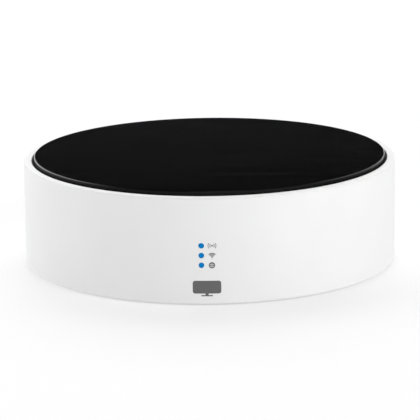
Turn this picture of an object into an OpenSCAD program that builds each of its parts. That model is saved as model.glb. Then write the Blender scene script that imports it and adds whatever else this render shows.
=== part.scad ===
// Round streaming media player: a white drum with a black metal top plate,
// three status lights at the front and a recessed bay of sockets at the rear.
// Frame: +Z up, front towards -Y, origin at the middle of the footprint. Millimetres.

/* [Body] */
// Outside diameter of the drum
body_d = 150; // [149:0.5:152]
// Height of the white shell, from its lower edge to its rim
shell_h = 41.5; // [41.5:0.5:44]
// Thickness of the shell's side wall
wall = 2.4; // [2.3:0.1:2.6]
// Width of the flat rim round the top plate
rim_w = 3.3; // [3.2:0.1:3.5]
// Rounding of the rim's outer edge
rim_round = 0.8; // [0.4:0.1:1.2]
// Rounding of the shell's lower edge
foot_round = 1.2; // [0.6:0.1:1.6]
// Gap between the shell and the table
foot_gap = 0.8; // [0.7:0.1:0.9]

/* [Top plate] */
// Width of the open groove between the plate and the rim
groove_w = 1.0; // [0.8:0.1:1.2]
// Depth of that groove below the rim, down to the ledge
groove_depth = 6; // [6:0.5:6.5]
// Height of the plate above the rim
plate_proud = 1.5; // [1.2:0.1:1.8]
// Metal thickness of the plate
plate_t = 1.6; // [1.4:0.1:1.8]
// Bright chamfer round the plate's edge
plate_chamfer = 0.35; // [0.2:0.05:0.5]

/* [Status lights] */
// Sideways place of the column of lights
light_x = -2.0; // [-2.5:0.5:-1]
// Height of the lowest light
light_z = 16.2; // [16.1:0.1:17]
// Spacing of the lights
light_pitch = 3.8; // [3.7:0.05:4]
// Diameter of one light
light_d = 2.1; // [1.8:0.1:2.2]

/* [Port bay] */
// Width of the bay, outside its walls
bay_w = 86; // [86:0.5:86.5]
// Height of the bay, outside its walls
bay_h = 24; // [24:0.5:25]
// Distance of the socket panel from the drum's axis
panel_y = 58.5; // [58.4:0.1:58.8]
// Travel of the power button
power_travel = 2.0; // [1.5:0.1:2.2]
// Travel of the reset plunger
reset_travel = 0.25; // [0.2:0.05:0.3]

/* [Hidden] */

// Radii and heights of the casing
body_r = body_d / 2;
wall_in = body_r - wall;
rim_in = body_r - rim_w;
rim_inner_round = 0.3;
shell_z = foot_gap;
rim_z = shell_z + shell_h;
ledge_z = rim_z - groove_depth;
ledge_t = 2;
ledge_under = ledge_z - ledge_t;
ledge_in = 60;

// Screws: shank, head and head height, and the clearance hole
screw_r = 1.1;
screw_head_r = 2.2;
screw_head_h = 1.4;
screw_clear = 1.25;
small_screw_r = 0.9;
small_head_r = 1.8;
small_head_h = 1.2;

// Bosses that take the base screws
boss_angles = [20, 160, 235, 305];
boss_at = body_r - 6.6;
boss_r = 4.6;
boss_screw_l = 9;

// Vents in the ledge and carrier, under the groove
vent_step = 15;
vent_angles = [
    for (i = [0:23])
        let (a = 7.5 + vent_step * i)
        if (min([for (b = boss_angles) abs(a - b)]) > 6) a
];
vent_w = 10;
vent_in = 66.3;
vent_out = 70.5;

// Top carrier and plate
carrier_t = 2;
carrier_r = rim_in - 0.3;
carrier_top = ledge_z + carrier_t;
plate_r = rim_in - groove_w;
plate_top = rim_z + plate_proud;
plate_under = plate_top - plate_t;
adhesive_t = 0.3;
ring_top = plate_under - adhesive_t;
skirt_t = 1.5;
skirt_z = carrier_top + 1.6;
carrier_ring = [60.2, 66];
carrier_hub = [22, 26];
carrier_screw_at = 63;
carrier_screw_l = 6.5;
carrier_screw_angles = [0 : 90 : 270];

// Base tray and feet
tray_z = shell_z + 0.4;
tray_t = 2.4;
tray_top = tray_z + tray_t;
tray_r = wall_in - 0.3;
foot_r = 6;
foot_at = 58;
foot_h = tray_z + 0.6;
foot_recess = foot_h - tray_z;
foot_edge = 0.4;
base_vent_r = 27;
base_vent_y = 20;
base_vent_pitch = 4;
ballast = [31, 53.5];
ballast_t = 2;
ballast_pin_r = 1.5;
ballast_pin_at = 43;
ballast_pins = [90, 210, 330];

// Main board
board_z = 9;
board_t = 1.6;
pcb_z = board_z + board_t;
board_r = 68.5;
board_x = 52;
board_front = -45;
board_rear = 53.7;
board_posts = [[46, -38], [-46, -38], [46, 40], [-46, 40]];
post_r = 3.2;

// Heat sink and chips
sink_w = 40;
sink_base = 3;
sink_h = 15;
sink_fins = 8;
sink_fin_t = 1.6;
sink_c = [-6, 0];
sink_pin_at = 16.5;
sink_pin_r = 1.4;
sink_pin_head_r = 2.4;
chip_w = 15;
chip_h = 1.6;
pad_t = 0.5;
sink_z = pcb_z + chip_h + pad_t;
memory_xs = [22, 33];
memory_y = 8.25;
memory_size = [8, 12.5, 1.1];
flash_at = [39.75, 26.5];
flash_size = [11.5, 13, 1];
inductor_places = [[-42, -8], [-42, -20], [-30, -29]];
capacitor_places = [[31, 38], [-44, 5], [-33, -9], [-31, -19]];
capacitor_r = 3.15;
capacitor_h = 7.7;
tuner_x = [-45, -27];
tuner_y = [14, 37];
tuner_h = 5;
can_t = 0.3;

// Status light parts
light_n = 3;
light_zs = [for (i = [0 : light_n - 1]) light_z + i * light_pitch];
led_w = 3.4;
led_h = 2.8;
led_t = 1.9;
led_board_front = -67.4;
led_board_t = 1.2;
led_board_w = 24;
led_board_zs = [10, 30];
led_rail_back = -64.5;
led_rests = [-10, 7];
rail_w = 3.5;
rail_slot = 1.2;
guide_x = [light_x - 4, light_x + 4];
guide_z = [light_z - 2.8, light_z + 2 * light_pitch + 2.7];

// Port bay
bay_z = 7;
bay_t = 2;
panel_t = 2.5;
panel_back = panel_y - panel_t;
flange_t = 2;
flange_x = 45;
flange_window_z = 8.5;
bay_flush = 0.2;
bay_gap = 0.2;
nose = 0.3;
port_front = panel_y + nose;
port_gap = 0.2;

// Sockets, left to right as seen from the front
coax_x = -32;
coax_z = 17.1;
coax_block = [13, 12, 13];
coax_r = 4.76;
coax_neck_r = 4.4;
coax_bore_r = 3.3;
coax_bore_y = panel_y - 4;
coax_pin_r = 0.9;
coax_pin_bore = 0.5;
coax_nut_r = 6.35;
coax_thread = [60.5, 69.5];
coax_end = 70;
hdmi_x = -15.5;
hdmi_w = 15;
hdmi_h = 5.6;
hdmi_l = 11;
hdmi_wall = 0.5;
hdmi_tongue_w = 11;
hdmi_tongue_z = [2.6, 3.7];
usb_x = 1;
usb_w = 13.2;
usb_h = 5.9;
usb_l = 14;
usb_wall = 0.4;
usb_tongue_w = 11.2;
usb_tongue_z = [3.2, 5.0];
eth_x = 19.5;
eth_w = 16;
eth_h = 13.5;
eth_l = 16;
eth_wall = 0.5;
dc_x = 35;
dc_body = [9, 11.2, 11];
dc_z = 17.1;
dc_nose_r = 4;
dc_bore_r = 3.2;
dc_pin_r = 1.05;
dc_floor = 2.5;

// Buttons above the sockets
button_z = 23.8;
power_x = hdmi_x;
power_r = 3.2;
power_hole_r = 3.35;
power_cap_y = 61.1;
power_edge = 0.4;
power_plunger_r = 1.5;
power_switch_w = 8;
power_switch_d = 6.5;
power_flange = [4.1, 1.0];
power_flange_y = panel_back - 0.1;
reset_x = usb_x;
reset_hole_r = 0.8;
reset_r = 1.75;
reset_switch_w = 6;
switch_y = 44;
plunger_rest = switch_y + 3;
reset_rest = switch_y + 1.5;
button_board_t = 1.2;
button_board_x = [-25, 10.6];
button_board_zs = [19, 28.6];
button_posts = [-22.2, 7.8];
button_post_r = 2.1;

// Antennas and their leads
antenna_angles = [195, 345];
antenna_w = 34;
antenna_h = 9;
antenna_z = 18;
antenna_at = 69.4;
antenna_t = 0.8;
antenna_rail = [67.6, 71.4];
lead_r = 0.6;
wifi_pcb = [20, 18, 1];
wifi_at = [22, -30];
lead_start = [antenna_at - 0.05, 66];
lead_z = 20;
lead_right = [
    polar(antenna_angles[1], lead_start[0], lead_z), polar(antenna_angles[1], lead_start[1], lead_z),
    [58, -16, 18], [52, -14.6, 15.4], [46, -13.2, 13.8], [41, -12.9, 12.8], [37, -13.5, 12.4]
];
lead_left = [
    polar(antenna_angles[0], lead_start[0], lead_z), polar(antenna_angles[0], lead_start[1], lead_z),
    [-58, -20, 18.4], [-51, -27, 16],
    [-42, -35, 15.2], [-30, -39, 14.6], [-14, -38.4, 14.4], [0, -36, 14.2],
    [10, -31, 14.2], [15.6, -24, 14.2], [18.6, -17, 13.8], [22.4, -13.4, 12.9],
    [27, -13.5, 12.4]
];

white = "#ececec";
black = "#17181a";
charcoal = "#2b2d30";
steel = "#b9bcc0";
brass = "#c9a24a";
pcb_green = "#1f5b3a";

// ---- Shared shapes ----

// The point at an angle and distance round the drum's axis, at height z
function polar(a, r, z) = [r * cos(a), r * sin(a), z];

// Points of an arc about (cx, cy), from angle a0 to angle a1
function arc(cx, cy, r, a0, a1, n = 6) =
    [for (i = [0:n]) let (a = a0 + (a1 - a0) * i / n) [cx + r * cos(a), cy + r * sin(a)]];

// Height of a smooth step from z0 down to z1, for t from 0 to 1
function ease(z0, z1, t) = z1 + (z0 - z1) * (1 + cos(180 * t)) / 2;

// One point of a Catmull-Rom curve between b and c
function curve_point(a, b, c, d, t) =
    0.5 * (2 * b + (c - a) * t + (2 * a - 5 * b + 4 * c - d) * t * t
        + (3 * b - a - 3 * c + d) * t * t * t);

// A smooth line through every point of p, with n steps in each span
function smooth_line(p, n = 3) =
    let (m = len(p) - 1)
    concat(
        [for (i = [0 : m - 1], k = [0 : n - 1])
            curve_point(p[max(i - 1, 0)], p[i], p[i + 1], p[min(i + 2, m)], k / n)],
        [p[m]]
    );

// Direction of line q at point i
function heading(q, i) =
    let (v = q[min(i + 1, len(q) - 1)] - q[max(i - 1, 0)]) v / norm(v);

// A box given by its low and high corners
module block(lo, hi) {
    translate(lo) cube(hi - lo);
}

// A cylinder along Y from y0 to y1
module rod_y(x, z, r, y0, y1, fn = 48) {
    translate([x, y1, z]) rotate([90, 0, 0]) cylinder(r = r, h = y1 - y0, $fn = fn);
}

// A round wire swept along line q
module wire(q, r, sides = 8) {
    rings = [
        for (i = [0 : len(q) - 1])
            let (
                t = heading(q, i),
                s0 = cross(t, [0, 0, 1]),
                s = s0 / norm(s0),
                u = cross(s, t)
            )
            for (k = [0 : sides - 1])
                q[i] + r * (cos(360 * k / sides) * s + sin(360 * k / sides) * u)
    ];
    n = len(q);
    sides_faces = [
        for (i = [0 : n - 2], k = [0 : sides - 1])
            let (k2 = (k + 1) % sides)
            [i * sides + k, i * sides + k2, (i + 1) * sides + k2, (i + 1) * sides + k]
    ];
    start_cap = [[for (k = [sides - 1 : -1 : 0]) k]];
    end_cap = [[for (k = [0 : sides - 1]) (n - 1) * sides + k]];
    polyhedron(points = rings, faces = concat(sides_faces, start_cap, end_cap), convexity = 6);
}

// A pan-head screw that points up +Z, with its head's underside at z = 0
module screw(r, length, head_r, head_h) {
    cylinder(r = r, h = length, $fn = 32);
    difference() {
        translate([0, 0, -head_h]) cylinder(r = head_r, h = head_h, $fn = 40);
        for (a = [0, 90])
            rotate(a) translate([-head_r * 0.6, -0.3, -head_h - 0.1]) cube([head_r * 1.2, 0.6, 0.8]);
    }
}

// A wall rail with a slot that holds the end of a board, outside of it at +X
module rail(x, y0, y1, slot_y, slot_z) {
    difference() {
        block([x, y0, slot_z[0] - 2], [x + rail_w, y1, ledge_z - 1]);
        block([x - 1, slot_y[0], slot_z[0] - 3], [x + rail_slot, slot_y[1], slot_z[1]]);
    }
}

// ---- Casing ----

// Outline of the shell: wall, rounded rim and the ledge that carries the top
module shell_profile() {
    polygon(concat(
        arc(body_r - foot_round, shell_z + foot_round, foot_round, -90, 0, 8),
        arc(body_r - rim_round, rim_z - rim_round, rim_round, 0, 90, 8),
        arc(rim_in + rim_inner_round, rim_z - rim_inner_round, rim_inner_round, 90, 180, 4),
        [
            [rim_in, ledge_z], [ledge_in, ledge_z], [ledge_in, ledge_under],
            [wall_in, ledge_under], [wall_in, shell_z]
        ]
    ));
}

module antenna_rails() {
    for (a = antenna_angles)
        for (s = [0, 1])
            rotate(a + 90) mirror([s, 0, 0])
                rail(
                    antenna_w / 2 - 1, -antenna_rail[1], -antenna_rail[0],
                    [-antenna_at - antenna_t - 0.1, -antenna_at + 0.1],
                    [antenna_z, antenna_z + antenna_h + 0.1]
                );
}

module outer_shell() {
    color(white)
        difference() {
            union() {
                rotate_extrude($fn = 180) shell_profile();
                for (a = boss_angles)
                    rotate(a) translate([boss_at, 0, tray_top])
                        cylinder(r = boss_r, h = ledge_under + 1 - tray_top, $fn = 40);
                for (s = [0, 1])
                    mirror([s, 0, 0])
                        rail(
                            led_board_w / 2 - 1, -wall_in + 0.5, led_rail_back,
                            [led_board_front - 0.1, led_board_front + led_board_t + 0.1],
                            [led_board_zs[0], led_board_zs[1] + 0.2]
                        );
                antenna_rails();
            }
            for (a = boss_angles)
                rotate(a) translate([boss_at, 0, tray_top - 1])
                    cylinder(r = screw_r, h = boss_screw_l + 1, $fn = 32);
            for (a = vent_angles)
                rotate(a)
                    block([vent_in, -vent_w / 2, ledge_under - 1], [vent_out, vent_w / 2, ledge_z + 1]);
            for (a = carrier_screw_angles)
                rotate(a) translate([carrier_screw_at, 0, ledge_under - 1])
                    cylinder(r = screw_clear, h = ledge_t + 2, $fn = 32);
            block(
                [-bay_w / 2 - bay_gap, 50, bay_z - bay_gap],
                [bay_w / 2 + bay_gap, body_r + 1, bay_z + bay_h + bay_gap]
            );
            for (z = light_zs)
                rod_y(light_x, z, light_d / 2 + 0.05, -body_r - 1, -71);
        }
}

// Drawn aluminium cap with a turned-down skirt and a cut chamfer
module top_plate() {
    color(black)
        rotate_extrude($fn = 180)
            polygon([
                [0, plate_top], [0, plate_under], [plate_r - skirt_t, plate_under],
                [plate_r - skirt_t, skirt_z], [plate_r, skirt_z],
                [plate_r, plate_top - plate_chamfer], [plate_r - plate_chamfer, plate_top]
            ]);
}

module tube_ring(r, z0, z1) {
    difference() {
        translate([0, 0, z0]) cylinder(r = r[1], h = z1 - z0, $fn = 120);
        translate([0, 0, z0 - 1]) cylinder(r = r[0], h = z1 - z0 + 2, $fn = 120);
    }
}

module top_adhesive() {
    color("#d8d2b8") {
        tube_ring([carrier_ring[0] + 0.5, carrier_ring[1] - 0.5], ring_top, plate_under);
        tube_ring([carrier_hub[0] + 0.3, carrier_hub[1] - 0.3], ring_top, plate_under);
    }
}

module top_carrier() {
    color(charcoal)
        difference() {
            union() {
                translate([0, 0, ledge_z]) cylinder(r = carrier_r, h = carrier_t, $fn = 120);
                tube_ring(carrier_ring, ledge_z + 1, ring_top);
                tube_ring(carrier_hub, ledge_z + 1, ring_top);
                for (a = [30 : 60 : 330])
                    rotate(a) block(
                        [carrier_hub[1] - 0.5, -0.8, ledge_z + 1],
                        [carrier_ring[0] + 0.5, 0.8, ring_top - 0.6]
                    );
            }
            for (a = vent_angles)
                rotate(a) block(
                    [vent_in + 0.6, -vent_w / 2, ledge_z - 1],
                    [body_r, vent_w / 2, carrier_top + 0.1]
                );
            for (a = carrier_screw_angles)
                rotate(a) translate([carrier_screw_at, 0, ledge_z - 1])
                    cylinder(r = screw_r, h = carrier_screw_l - ledge_t + 1.2, $fn = 32);
        }
}

module carrier_screws() {
    color(steel)
        for (a = carrier_screw_angles)
            rotate(a) translate([carrier_screw_at, 0, ledge_under])
                screw(screw_r, carrier_screw_l, screw_head_r, screw_head_h);
}

module base_tray() {
    color(charcoal)
        difference() {
            union() {
                translate([0, 0, tray_z]) cylinder(r = tray_r, h = tray_t, $fn = 120);
                for (p = board_posts)
                    translate([p[0], p[1], tray_top - 1])
                        cylinder(r = post_r, h = board_z - tray_top + 1, $fn = 40);
                for (a = ballast_pins)
                    rotate(a) translate([ballast_pin_at, 0, tray_top - 1])
                        cylinder(r = ballast_pin_r, h = ballast_t + 1.6, $fn = 32);
                for (x = led_rests)
                    block([x, -68, tray_top - 1], [x + 3, -65.6, led_board_zs[0]]);
            }
            for (p = board_posts)
                translate([p[0], p[1], board_z - 4.6]) cylinder(r = screw_r, h = 5, $fn = 32);
            for (a = boss_angles)
                rotate(a) translate([boss_at, 0, tray_z]) {
                    translate([0, 0, -1]) cylinder(r = screw_clear, h = tray_t + 2, $fn = 32);
                    translate([0, 0, -1])
                        cylinder(r = screw_head_r + 0.3, h = screw_head_h + 1.1, $fn = 40);
                }
            for (a = [45 : 90 : 315])
                rotate(a) translate([foot_at, 0, tray_z - 1])
                    cylinder(r = foot_r + 0.2, h = foot_recess + 1, $fn = 60);
            for (y = [-base_vent_y : base_vent_pitch : base_vent_y])
                let (half = sqrt(pow(base_vent_r, 2) - y * y))
                block([-half, y - 1, tray_z - 1], [half, y + 1, tray_top + 1]);
        }
}

module base_screws() {
    color(steel)
        for (a = boss_angles)
            rotate(a) translate([boss_at, 0, tray_z + screw_head_h + 0.1])
                screw(screw_r, boss_screw_l + tray_t - screw_head_h - 0.5, screw_head_r, screw_head_h);
}

// Rubber foot number i, a disc with a rounded lower edge
module foot(i) {
    color(black)
        rotate(45 + 90 * (i - 1)) translate([foot_at, 0, 0])
            rotate_extrude($fn = 60)
                polygon(concat(
                    [[0, foot_h], [0, 0]],
                    arc(foot_r - foot_edge, foot_edge, foot_edge, -90, 0, 4),
                    [[foot_r, foot_h]]
                ));
}

module ballast_ring() {
    color(steel)
        difference() {
            tube_ring(ballast, tray_top, tray_top + ballast_t);
            for (a = ballast_pins)
                rotate(a) translate([ballast_pin_at, 0, tray_top - 1])
                    cylinder(r = ballast_pin_r + 0.1, h = ballast_t + 2, $fn = 32);
        }
}

// ---- Port bay ----

// Outline of the HDMI socket's metal shell, grown by g
module hdmi_outline(g) {
    w = hdmi_w / 2 + g;
    polygon([
        [-w, hdmi_h + g], [-w, 2.1 - g * 0.4], [-w + 1.9, -g],
        [w - 1.9, -g], [w, 2.1 - g * 0.4], [w, hdmi_h + g]
    ]);
}

// An outline in X and Z, drawn from y0 to y1, with its own origin at (x, z)
module extrude_y(x, z, y0, y1) {
    translate([x, y1, z]) rotate([90, 0, 0]) linear_extrude(height = y1 - y0) children();
}

// Openings of the sockets and buttons through the panel
module port_openings() {
    y0 = panel_back - 1;
    y1 = panel_y + 1;
    rod_y(coax_x, coax_z, coax_r + 0.15, y0, y1);
    extrude_y(hdmi_x, pcb_z, y0, y1) hdmi_outline(port_gap);
    block([usb_x - usb_w / 2 - port_gap, y0, pcb_z - port_gap],
        [usb_x + usb_w / 2 + port_gap, y1, pcb_z + usb_h + port_gap]);
    block([eth_x - eth_w / 2 - port_gap, y0, pcb_z - port_gap],
        [eth_x + eth_w / 2 + port_gap, y1, pcb_z + eth_h + port_gap]);
    rod_y(dc_x, dc_z, dc_nose_r + port_gap, y0, y1);
    rod_y(power_x, button_z, power_hole_r, y0, y1);
    rod_y(reset_x, button_z, reset_hole_r, y0, y1, 24);
}

module port_panel() {
    color(charcoal)
        difference() {
            union() {
                intersection() {
                    block([-bay_w / 2, panel_back, bay_z], [bay_w / 2, body_r + 1, bay_z + bay_h]);
                    cylinder(r = body_r - bay_flush, h = rim_z, $fn = 180);
                }
                difference() {
                    block([-flange_x, panel_back - flange_t, tray_top],
                        [flange_x, panel_back, ledge_under]);
                    block([-bay_w / 2 + bay_t, panel_back - flange_t - 1, flange_window_z],
                        [bay_w / 2 - bay_t, panel_back + 1, bay_z + bay_h - bay_t]);
                }
                for (x = button_posts)
                    rod_y(x, button_z, button_post_r, switch_y, panel_back + 0.5, 32);
            }
            block([-bay_w / 2 + bay_t, panel_y, bay_z + bay_t],
                [bay_w / 2 - bay_t, body_r + 2, bay_z + bay_h - bay_t]);
            port_openings();
            for (x = button_posts)
                rod_y(x, button_z, small_screw_r, switch_y - 1, switch_y + 8, 24);
        }
}

module coax_jack() {
    color(steel)
        difference() {
            union() {
                block([coax_x - coax_block[0] / 2, panel_back - coax_block[1], pcb_z],
                    [coax_x + coax_block[0] / 2, panel_back, pcb_z + coax_block[2]]);
                rod_y(coax_x, coax_z, coax_neck_r, panel_back - 1, coax_thread[0] + 0.5, 60);
                rod_y(coax_x, coax_z, coax_r, coax_thread[0], coax_thread[1], 60);
                translate([coax_x, coax_end, coax_z]) rotate([90, 0, 0])
                    cylinder(r1 = coax_r - 0.5, r2 = coax_r, h = coax_end - coax_thread[1], $fn = 60);
            }
            rod_y(coax_x, coax_z, coax_bore_r, coax_bore_y, coax_end + 1);
        }
}

module coax_insulator() {
    color("#e9e6da")
        difference() {
            rod_y(coax_x, coax_z, coax_bore_r, coax_bore_y, coax_end - 0.5);
            rod_y(coax_x, coax_z, coax_pin_r, coax_bore_y - 1, coax_end, 24);
        }
}

module coax_contact() {
    color(brass)
        difference() {
            rod_y(coax_x, coax_z, coax_pin_r, coax_bore_y, coax_end - 1.2, 24);
            rod_y(coax_x, coax_z, coax_pin_bore, panel_y + 2, coax_end, 24);
        }
}

module coax_nut() {
    color(steel)
        difference() {
            translate([coax_x, coax_thread[0], coax_z]) rotate([90, 0, 0])
                cylinder(r = coax_nut_r, h = coax_thread[0] - panel_y, $fn = 6);
            rod_y(coax_x, coax_z, coax_neck_r, panel_y - 1, coax_thread[0] + 1, 60);
        }
}

module hdmi_shell() {
    color(steel)
        difference() {
            extrude_y(hdmi_x, pcb_z, port_front - hdmi_l, port_front) hdmi_outline(0);
            extrude_y(hdmi_x, pcb_z, port_front - hdmi_l + hdmi_wall, port_front + 1)
                hdmi_outline(-hdmi_wall);
        }
}

module hdmi_tongue() {
    color(black)
        union() {
            extrude_y(hdmi_x, pcb_z, port_front - hdmi_l + hdmi_wall, port_front - hdmi_l + 3)
                hdmi_outline(-hdmi_wall);
            block([hdmi_x - hdmi_tongue_w / 2, port_front - hdmi_l + 2.5, pcb_z + hdmi_tongue_z[0]],
                [hdmi_x + hdmi_tongue_w / 2, port_front - 1.2, pcb_z + hdmi_tongue_z[1]]);
        }
}

module usb_shell() {
    color(steel)
        difference() {
            block([usb_x - usb_w / 2, port_front - usb_l, pcb_z],
                [usb_x + usb_w / 2, port_front, pcb_z + usb_h]);
            block([usb_x - usb_w / 2 + usb_wall, port_front - usb_l + usb_wall, pcb_z + usb_wall],
                [usb_x + usb_w / 2 - usb_wall, port_front + 1, pcb_z + usb_h - usb_wall]);
        }
}

module usb_tongue() {
    color(black)
        union() {
            block([usb_x - usb_w / 2 + usb_wall, port_front - usb_l + usb_wall, pcb_z + usb_wall],
                [usb_x + usb_w / 2 - usb_wall, port_front - usb_l + 4, pcb_z + usb_h - usb_wall]);
            block([usb_x - usb_tongue_w / 2, port_front - usb_l + 3, pcb_z + usb_tongue_z[0]],
                [usb_x + usb_tongue_w / 2, port_front - 1, pcb_z + usb_tongue_z[1]]);
        }
}

module ethernet_shell() {
    color(steel)
        difference() {
            block([eth_x - eth_w / 2, port_front - eth_l, pcb_z],
                [eth_x + eth_w / 2, port_front, pcb_z + eth_h]);
            block([eth_x - eth_w / 2 + eth_wall, port_front - eth_l + eth_wall, pcb_z + eth_wall],
                [eth_x + eth_w / 2 - eth_wall, port_front + 1, pcb_z + eth_h - eth_wall]);
        }
}

// The plug cavity inside the network socket, its latch slots and its contacts
eth_cavity_w = 11.9;
eth_cavity_z = [pcb_z + 3.6, pcb_z + 11.9];
eth_cavity_back = port_front - 13;
eth_latch = [6.2, 3.4];
eth_contact_pitch = 1.02;
eth_contact_w = 0.44;

module ethernet_insert() {
    color(black)
        difference() {
            block([eth_x - eth_w / 2 + eth_wall, port_front - eth_l + eth_wall, pcb_z + eth_wall],
                [eth_x + eth_w / 2 - eth_wall, port_front - 0.3, pcb_z + eth_h - eth_wall]);
            block([eth_x - eth_cavity_w / 2, eth_cavity_back, eth_cavity_z[0]],
                [eth_x + eth_cavity_w / 2, port_front + 1, eth_cavity_z[1]]);
            block([eth_x - eth_latch[0] / 2, eth_cavity_back + 4, eth_cavity_z[0] - 1.6],
                [eth_x + eth_latch[0] / 2, port_front + 1, eth_cavity_z[0] + 1]);
            block([eth_x - eth_latch[1] / 2, eth_cavity_back + 4, eth_cavity_z[0] - 2.6],
                [eth_x + eth_latch[1] / 2, port_front + 1, eth_cavity_z[0] - 1]);
        }
}

// Eight springy gold wires that slant down from the roof of the cavity
module ethernet_contacts() {
    roof = eth_cavity_z[1];
    color(brass)
        for (i = [0:7])
            translate([eth_x + (i - 3.5) * eth_contact_pitch + eth_contact_w / 2, 0, 0])
                rotate([90, 0, -90]) linear_extrude(height = eth_contact_w)
                    polygon([
                        [-port_front + 2, roof], [-port_front + 2.9, roof],
                        [-port_front + 9.6, roof - 2.3], [-port_front + 9.3, roof - 2.8]
                    ]);
}

module dc_jack_body() {
    back = panel_back - dc_body[1];
    color(black)
        difference() {
            union() {
                block([dc_x - dc_body[0] / 2, back, pcb_z],
                    [dc_x + dc_body[0] / 2, panel_back, pcb_z + dc_body[2]]);
                rod_y(dc_x, dc_z, dc_nose_r, panel_back - 1, port_front, 60);
            }
            rod_y(dc_x, dc_z, dc_bore_r, back + dc_floor, port_front + 1, 60);
        }
}

module dc_jack_pin() {
    back = panel_back - dc_body[1];
    color(steel)
        rod_y(dc_x, dc_z, dc_pin_r, back + dc_floor, port_front - 1, 40);
}

// ---- Buttons ----

module power_button() {
    color(black)
        union() {
            rod_y(power_x, button_z, power_r, power_flange_y - 0.5, power_cap_y - power_edge, 60);
            translate([power_x, power_cap_y, button_z]) rotate([90, 0, 0])
                cylinder(r1 = power_r - power_edge, r2 = power_r, h = power_edge, $fn = 60);
            rod_y(power_x, button_z, power_flange[0], power_flange_y - power_flange[1], power_flange_y, 60);
        }
}

module power_plunger() {
    color(white)
        rod_y(power_x, button_z, power_plunger_r, plunger_rest, power_flange_y - power_flange[1], 40);
}

module power_switch() {
    color(charcoal)
        difference() {
            block([power_x - power_switch_w / 2, switch_y, button_z - power_switch_w / 2],
                [power_x + power_switch_w / 2, switch_y + power_switch_d, button_z + power_switch_w / 2]);
            rod_y(power_x, button_z, power_plunger_r + 0.2,
                plunger_rest - power_travel - 0.2, switch_y + 8, 40);
        }
}

module reset_plunger() {
    color(charcoal)
        rod_y(reset_x, button_z, reset_r, reset_rest, switch_y + 9.5, 40);
}

module reset_switch() {
    color(steel)
        difference() {
            block([reset_x - reset_switch_w / 2, switch_y, button_z - reset_switch_w / 2],
                [reset_x + reset_switch_w / 2, switch_y + 3.5, button_z + reset_switch_w / 2]);
            rod_y(reset_x, button_z, reset_r + 0.15, reset_rest - reset_travel - 0.2, switch_y + 8, 40);
        }
}

module button_board() {
    color(pcb_green)
        difference() {
            block([button_board_x[0], switch_y - button_board_t, button_board_zs[0]],
                [button_board_x[1], switch_y, button_board_zs[1]]);
            for (x = button_posts)
                rod_y(x, button_z, small_screw_r + 0.1, switch_y - 3, switch_y + 1, 24);
        }
}

module button_board_screws() {
    color(steel)
        for (x = button_posts)
            translate([x, switch_y - button_board_t, button_z]) rotate([-90, 0, 0])
                screw(small_screw_r, 8, small_head_r, small_head_h);
}

// ---- Main board and what stands on it ----

module main_board() {
    color(pcb_green)
        difference() {
            intersection() {
                translate([0, 0, board_z]) cylinder(r = board_r, h = board_t, $fn = 120);
                block([-board_x, board_front, board_z - 1], [board_x, board_rear, pcb_z + 1]);
            }
            for (p = board_posts)
                translate([p[0], p[1], board_z - 1]) cylinder(r = screw_clear, h = 4, $fn = 32);
            for (s = [-1, 1])
                translate([sink_c[0] + s * sink_pin_at, sink_c[1] - s * sink_pin_at, board_z - 1])
                    cylinder(r = 1.6, h = 4, $fn = 32);
        }
}

module board_screws() {
    color(steel)
        for (p = board_posts)
            translate([p[0], p[1], pcb_z]) mirror([0, 0, 1])
                screw(screw_r, 6, screw_head_r, screw_head_h);
}

// A flat chip of size s, centred on (x, y), standing on the board
module chip(x, y, s) {
    translate([x - s[0] / 2, y - s[1] / 2, pcb_z]) cube(s);
}

module soc_chip() {
    color(black) chip(sink_c[0], sink_c[1], [chip_w, chip_w, chip_h]);
}

module thermal_pad() {
    color("#7d8fa6")
        translate([sink_c[0] - chip_w / 2, sink_c[1] - chip_w / 2, pcb_z + chip_h])
            cube([chip_w, chip_w, pad_t]);
}

module heat_sink() {
    fin_pitch = (sink_w - sink_fin_t) / (sink_fins - 1);
    color("#3a3d42")
        translate([sink_c[0], sink_c[1], sink_z])
            difference() {
                union() {
                    translate([-sink_w / 2, -sink_w / 2, 0]) cube([sink_w, sink_w, sink_base]);
                    for (i = [0 : sink_fins - 1])
                        translate([-sink_w / 2 + i * fin_pitch, -sink_w / 2, sink_base - 0.5])
                            cube([sink_fin_t, sink_w, sink_h - sink_base + 0.5]);
                }
                for (s = [-1, 1])
                    translate([s * sink_pin_at, -s * sink_pin_at, 0]) {
                        translate([0, 0, -1]) cylinder(r = 1.5, h = sink_base + 2, $fn = 32);
                        translate([-4, -4, sink_base]) cube([8, 8, sink_h]);
                    }
            }
}

// Push pins that hold the heat sink to the board
module heat_sink_pins() {
    color(black)
        for (s = [-1, 1])
            translate([sink_c[0] + s * sink_pin_at, sink_c[1] - s * sink_pin_at, 0]) {
                translate([0, 0, board_z - 0.5])
                    cylinder(r = sink_pin_r, h = sink_z + sink_base - board_z + 1, $fn = 32);
                translate([0, 0, sink_z + sink_base]) cylinder(r = sink_pin_head_r, h = 1.5, $fn = 32);
                translate([0, 0, board_z - 1]) cylinder(r = 1.9, h = 1, $fn = 32);
            }
}

module memory_chips() {
    color(black)
        for (x = memory_xs)
            chip(x, memory_y, memory_size);
}

module flash_chip() {
    color(black) chip(flash_at[0], flash_at[1], flash_size);
}

module power_inductors() {
    color("#4a4a4e")
        for (p = inductor_places)
            chip(p[0], p[1], [7, 7, 4]);
}

module capacitors() {
    color("#2c3350")
        for (p = capacitor_places)
            translate([p[0], p[1], pcb_z]) cylinder(r = capacitor_r, h = capacitor_h, $fn = 40);
}

module tuner_can() {
    color(steel)
        difference() {
            block([tuner_x[0], tuner_y[0], pcb_z], [tuner_x[1], tuner_y[1], pcb_z + tuner_h]);
            block([tuner_x[0] + can_t, tuner_y[0] + can_t, pcb_z - 1],
                [tuner_x[1] - can_t, tuner_y[1] - can_t, pcb_z + tuner_h - can_t]);
        }
}

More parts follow.
